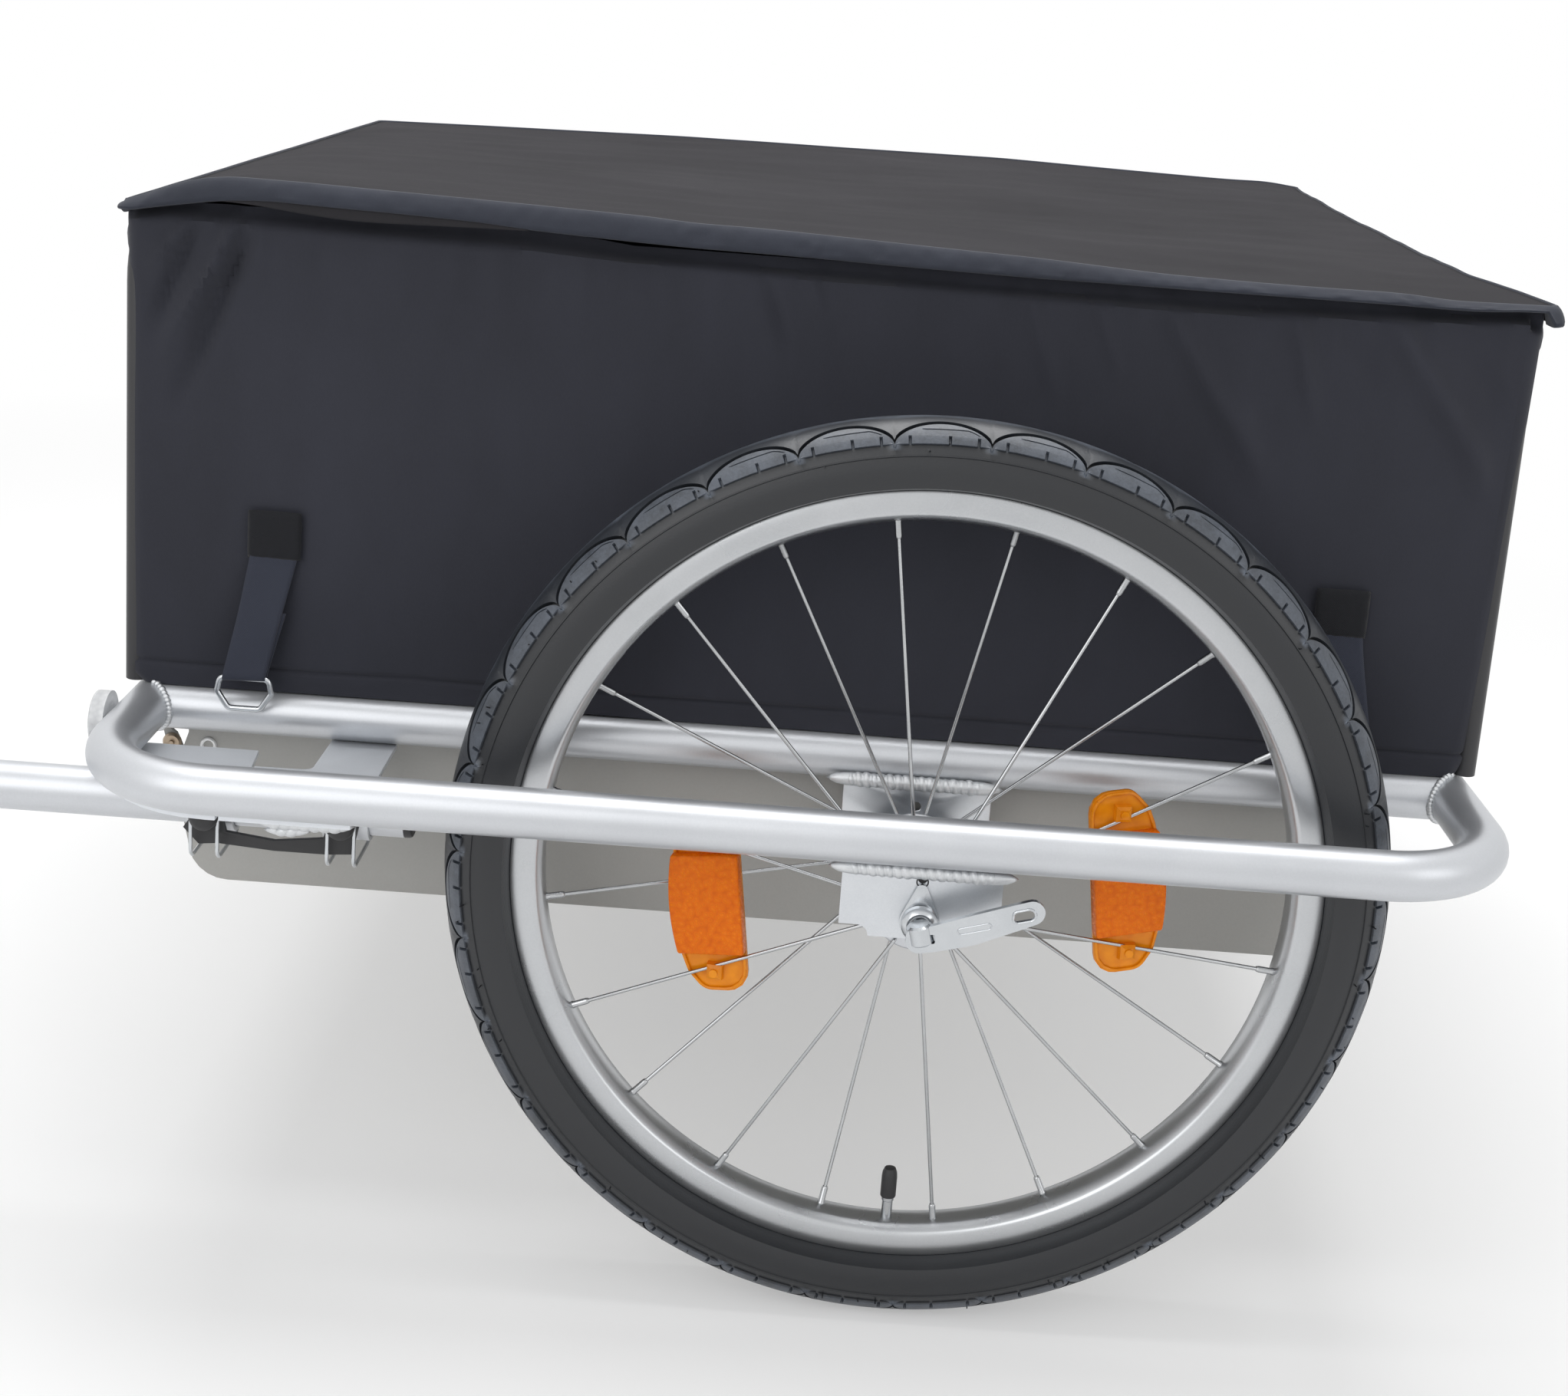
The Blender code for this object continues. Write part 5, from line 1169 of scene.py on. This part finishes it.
def lid_height(x, y):
    """Top of the lid's sheet: a slack surface between the near seam and the far edge."""
    share = (lid_near - y) / (lid_near - lid_far)
    inside = part_of_one((x + 0.3) / 0.73)
    sag = 0.005 * sin(pi * part_of_one(share)) * sin(pi * inside)
    soft = 0.0026 * bumps(x * 5, y * 7, 2.0) + 0.001 * bumps(x * 16, y * 30, 4.0)
    side_share = min(share, 1 - share) / 0.06 + 0.15
    border = part_of_one(side_share, (lid_front - x) / 0.03 + 0.1, (x + 0.31) / 0.03)
    near, far = along_line(seam_line, x), along_line(far_line, x)
    return near + (far - near) * share ** 0.85 - sag + soft * border


def lid_place(i, j):
    """Point of the lid's sheet: i runs forward, j runs from the near seam to the far edge."""
    y = lid_near + (lid_far - lid_near) * j / lid_along
    rear = along_line(rear_line, y) + rear_over
    x = rear + (lid_front - 0.002 - rear) * i / lid_across
    return at(x, y, lid_height(x, y))


lid = strip("lid_cloth_sheet", lid_across, lid_along, lid_place)
edit_all(lid)
bpy.ops.mesh.flip_normals()
cloth_piece(lid, lid_cloth, "cover_lid", "cover_lid", flat_size=(0.735, 0.69))

band_ring = around((360, 120, 140, 120), lid_front, lid_rear, lid_near, 0.006)
# Section of the band: its way out, then its height as a share from its top to its low edge,
# then what is added to that height.
band_section = [(-0.0016, 0, -0.0006), (-0.0002, 0, 0.001), (0.0022, 0, 0.0009),
                (0.0042, 0.1, 0), (0.006, 0.3, 0), (0.0073, 0.55, 0), (0.0082, 0.8, 0),
                (0.0085, 1, 0.0003), (0.008, 1, -0.0006), (0.0066, 1, -0.001),
                (0.0045, 1, -0.001), (0.0022, 1, -0.0008), (0.0004, 1, -0.0006),
                (-0.0015, 1, -0.0004)]


def band_place(i, j):
    """Point of the edge band: i runs round the lid, j from its seam over the fold and under."""
    x, y, nx, ny, side = band_ring[i][:5]
    rear_part = part_of_one((0.02 + lid_rear - x) / 0.02) if side in (0, 2) else side == 3
    if rear_part:
        x += (along_line(rear_line, y) + rear_over - lid_rear) * rear_part
    top = lid_height(x, max(lid_far, min(lid_near, y)))
    low = top - 0.0085 + 0.003 * (side == 1)
    if side == 0:
        low = min(along_line(edge_line, x), top - 0.0012)
    out, share, more = band_section[j]
    out *= 0.4 + 0.6 * abs(ny)
    z = top + (low - top) * share + more
    if 2 < j < 8:
        pleat = 0.0009 * bumps(x * 160, y * 160, j * 0.3)
        frayed = 0.0006 * bumps(x * 420, 1.0, j * 0.9) if side == 0 and -0.06 < x < 0.15 else 0.0
        out += pleat + frayed
        z += 0.4 * pleat
    return at(x + nx * out, y + ny * out, z)


band = strip("lid_edge_band", len(band_ring) - 1, len(band_section) - 1, band_place)
edit_all(band)
bpy.ops.mesh.remove_doubles(threshold=0.0001)
cloth_piece(band, band_cloth, "cover_lid", thick=0.0007, flat_size=(2.85, 0.03))

lip_line = [(220, 559.0), (246, 558.6), (289, 557.6), (311, 557.3), (335, 559.0), (365, 562.3),
            (392, 563.0)]
lip_rear, lip_front, lip_across, lip_down = 0.222, 0.39, 60, 5


def lip_place(i, j):
    """Point of the lip: the lid's hem that shows under the band near the front."""
    x = lip_rear + (lip_front - lip_rear) * i / lip_across
    top, low = along_line(edge_line, x) + 0.0012, along_line(lip_line, x)
    down = j / lip_down
    return at(x, lid_near + 0.0062 + 0.0016 * sin(pi * 0.6 * down), top + (low - top) * down)


lip = strip("lid_hem_lip", lip_across, lip_down, lip_place)
cloth_piece(lip, lid_cloth, "cover_lid", thick=0.0007, flat_size=(0.168, 0.01))

# Straps. Two a side hold the cover down; each is sewn under a square patch, passes through a
# bright wire ring at the rail and comes back up behind itself.
patch_cloth = cloth_finish("patch_cloth", (0.006, 0.006, 0.007), (0.02, 0.021, 0.025), pitch=0.0012)
webbing = cloth_finish("strap_webbing", (0.02, 0.022, 0.03), (0.05, 0.056, 0.08), pitch=0.0011)
strap_w, strap_top, ring_top, ring_y = 0.025, 0.379, 0.3125, 0.3579
patch_wide, patch_high, patch_low, patch_out, patch_steps = 0.0277, 0.0252, 0.3765, 0.0022, 14
turn_start, turn_stop, turn_r = 0.62, 0.74, 0.0026
strap_across, strap_along = 10, 40
half_top, half, half_foot, ring_waist, ring_low = 0.013, 0.0145, 0.0085, -0.00765, -0.017
ring_wire_r, ring_bend = 0.0016, 0.0032
ring_points = [(half_top, 0), (half, ring_waist), (half_foot, ring_low), (-half_foot, ring_low),
               (-half, ring_waist), (-half_top, 0)]
for place_name, x, ring_x in (("front", 0.349, 0.3615), ("rear", -0.215, -0.2275)):
    def patch_place(i, j, x=x):
        """Square patch, sewn flat on the wall."""
        u, v = i / patch_steps - 0.5, j / patch_steps
        sewn = 0.0 if 0 < i < patch_steps and 0 < j < patch_steps else 0.0009
        y = wall_y + patch_out - sewn + 0.0003 * bumps(u * 9, v * 9, x)
        return at(x + patch_wide * u, y, patch_low + patch_high * v)

    patch = strip(f"strap_patch_{place_name}_left", patch_steps, patch_steps, patch_place)
    cloth_piece(patch, patch_cloth, "frame", thick=0.0009, flat_size=(patch_wide, patch_high))

    def strap_place(i, j, x=x, ring_x=ring_x):
        """Strap: down the front, round the ring's top wire and back up behind."""
        u, v = i / strap_across - 0.5, j / strap_along
        over = ring_top + 0.001
        if v < turn_start:
            down = v / turn_start
            z = strap_top + (over - strap_top) * down
            start, stop = wall_y + patch_out, ring_y + turn_r
            y = start + (stop - start) * down ** 1.3 + 0.0012 * sin(3 * pi * down) * u
            mid = x + (ring_x - x) * down
        elif v < turn_stop:
            swing = pi * (v - turn_start) / (turn_stop - turn_start)
            z = over - turn_r * sin(swing)
            y = ring_y + turn_r * cos(swing)
            mid = ring_x
        else:
            up = (v - turn_stop) / (1 - turn_stop)
            z = over + 0.034 * up
            y = ring_y - turn_r - 0.0045 * up
            mid = ring_x + (x - ring_x) * up * 0.6
        narrow = 1 - 0.1 * sin(pi * v)
        return at(mid + strap_w * narrow * u, y, z + 0.001 * u * sin(2 * pi * v))

    strap = strip(f"strap_{place_name}_left", strap_across, strap_along, strap_place)
    cloth_piece(strap, webbing, "frame", thick=0.0011, flat_size=(strap_w, 0.11))
    ring = begin(f"wire_ring_{place_name}_left")
    draw_tube([at(ring_x + u, ring_y, ring_top + v) for u, v in ring_points], ring_wire_r,
              ring_bend, 12, closed=True, steps=5)
    finished(ring, plated, f"ring_{place_name}_left", "steel", f"ring_{place_name}_left", smooth=60)

# Panel fixings. A brownish bolt and a white eyelet on the front ear of each side panel.
brown_steel = metal_finish("browned_steel", (0.3, 0.22, 0.15), (0.5, 0.42, 0.33), 0.4, patch=150.0,
                           grain_scale=1500.0, bump=0.1)
ear_y = 0.3292
bolt = mm((0, 3.4), (1.2, 3.4), (1.4, 2.2), (3, 2.4), (4.2, 2.8), (5.2, 1.2), (5.2, 0), (0, 0))
lathe("panel_bolt_left", at(0.4071, ear_y, 0.2641), across_wheel, bolt, 24, brown_steel, "frame",
      "steel")
white_enamel = metal_finish("white_enamel", (0.8, 0.8, 0.8), (0.88, 0.88, 0.88), 0.35, metallic=0.0)
eyelet = mm((2.6, 0), (3, 1), (4, 1.2), (4.6, 0.4), (4.6, 0))
lathe("panel_eyelet_left", at(0.3875, ear_y, 0.2634), across_wheel, eyelet, 28, white_enamel, "frame",
      "panel", closed=True, smooth=50)
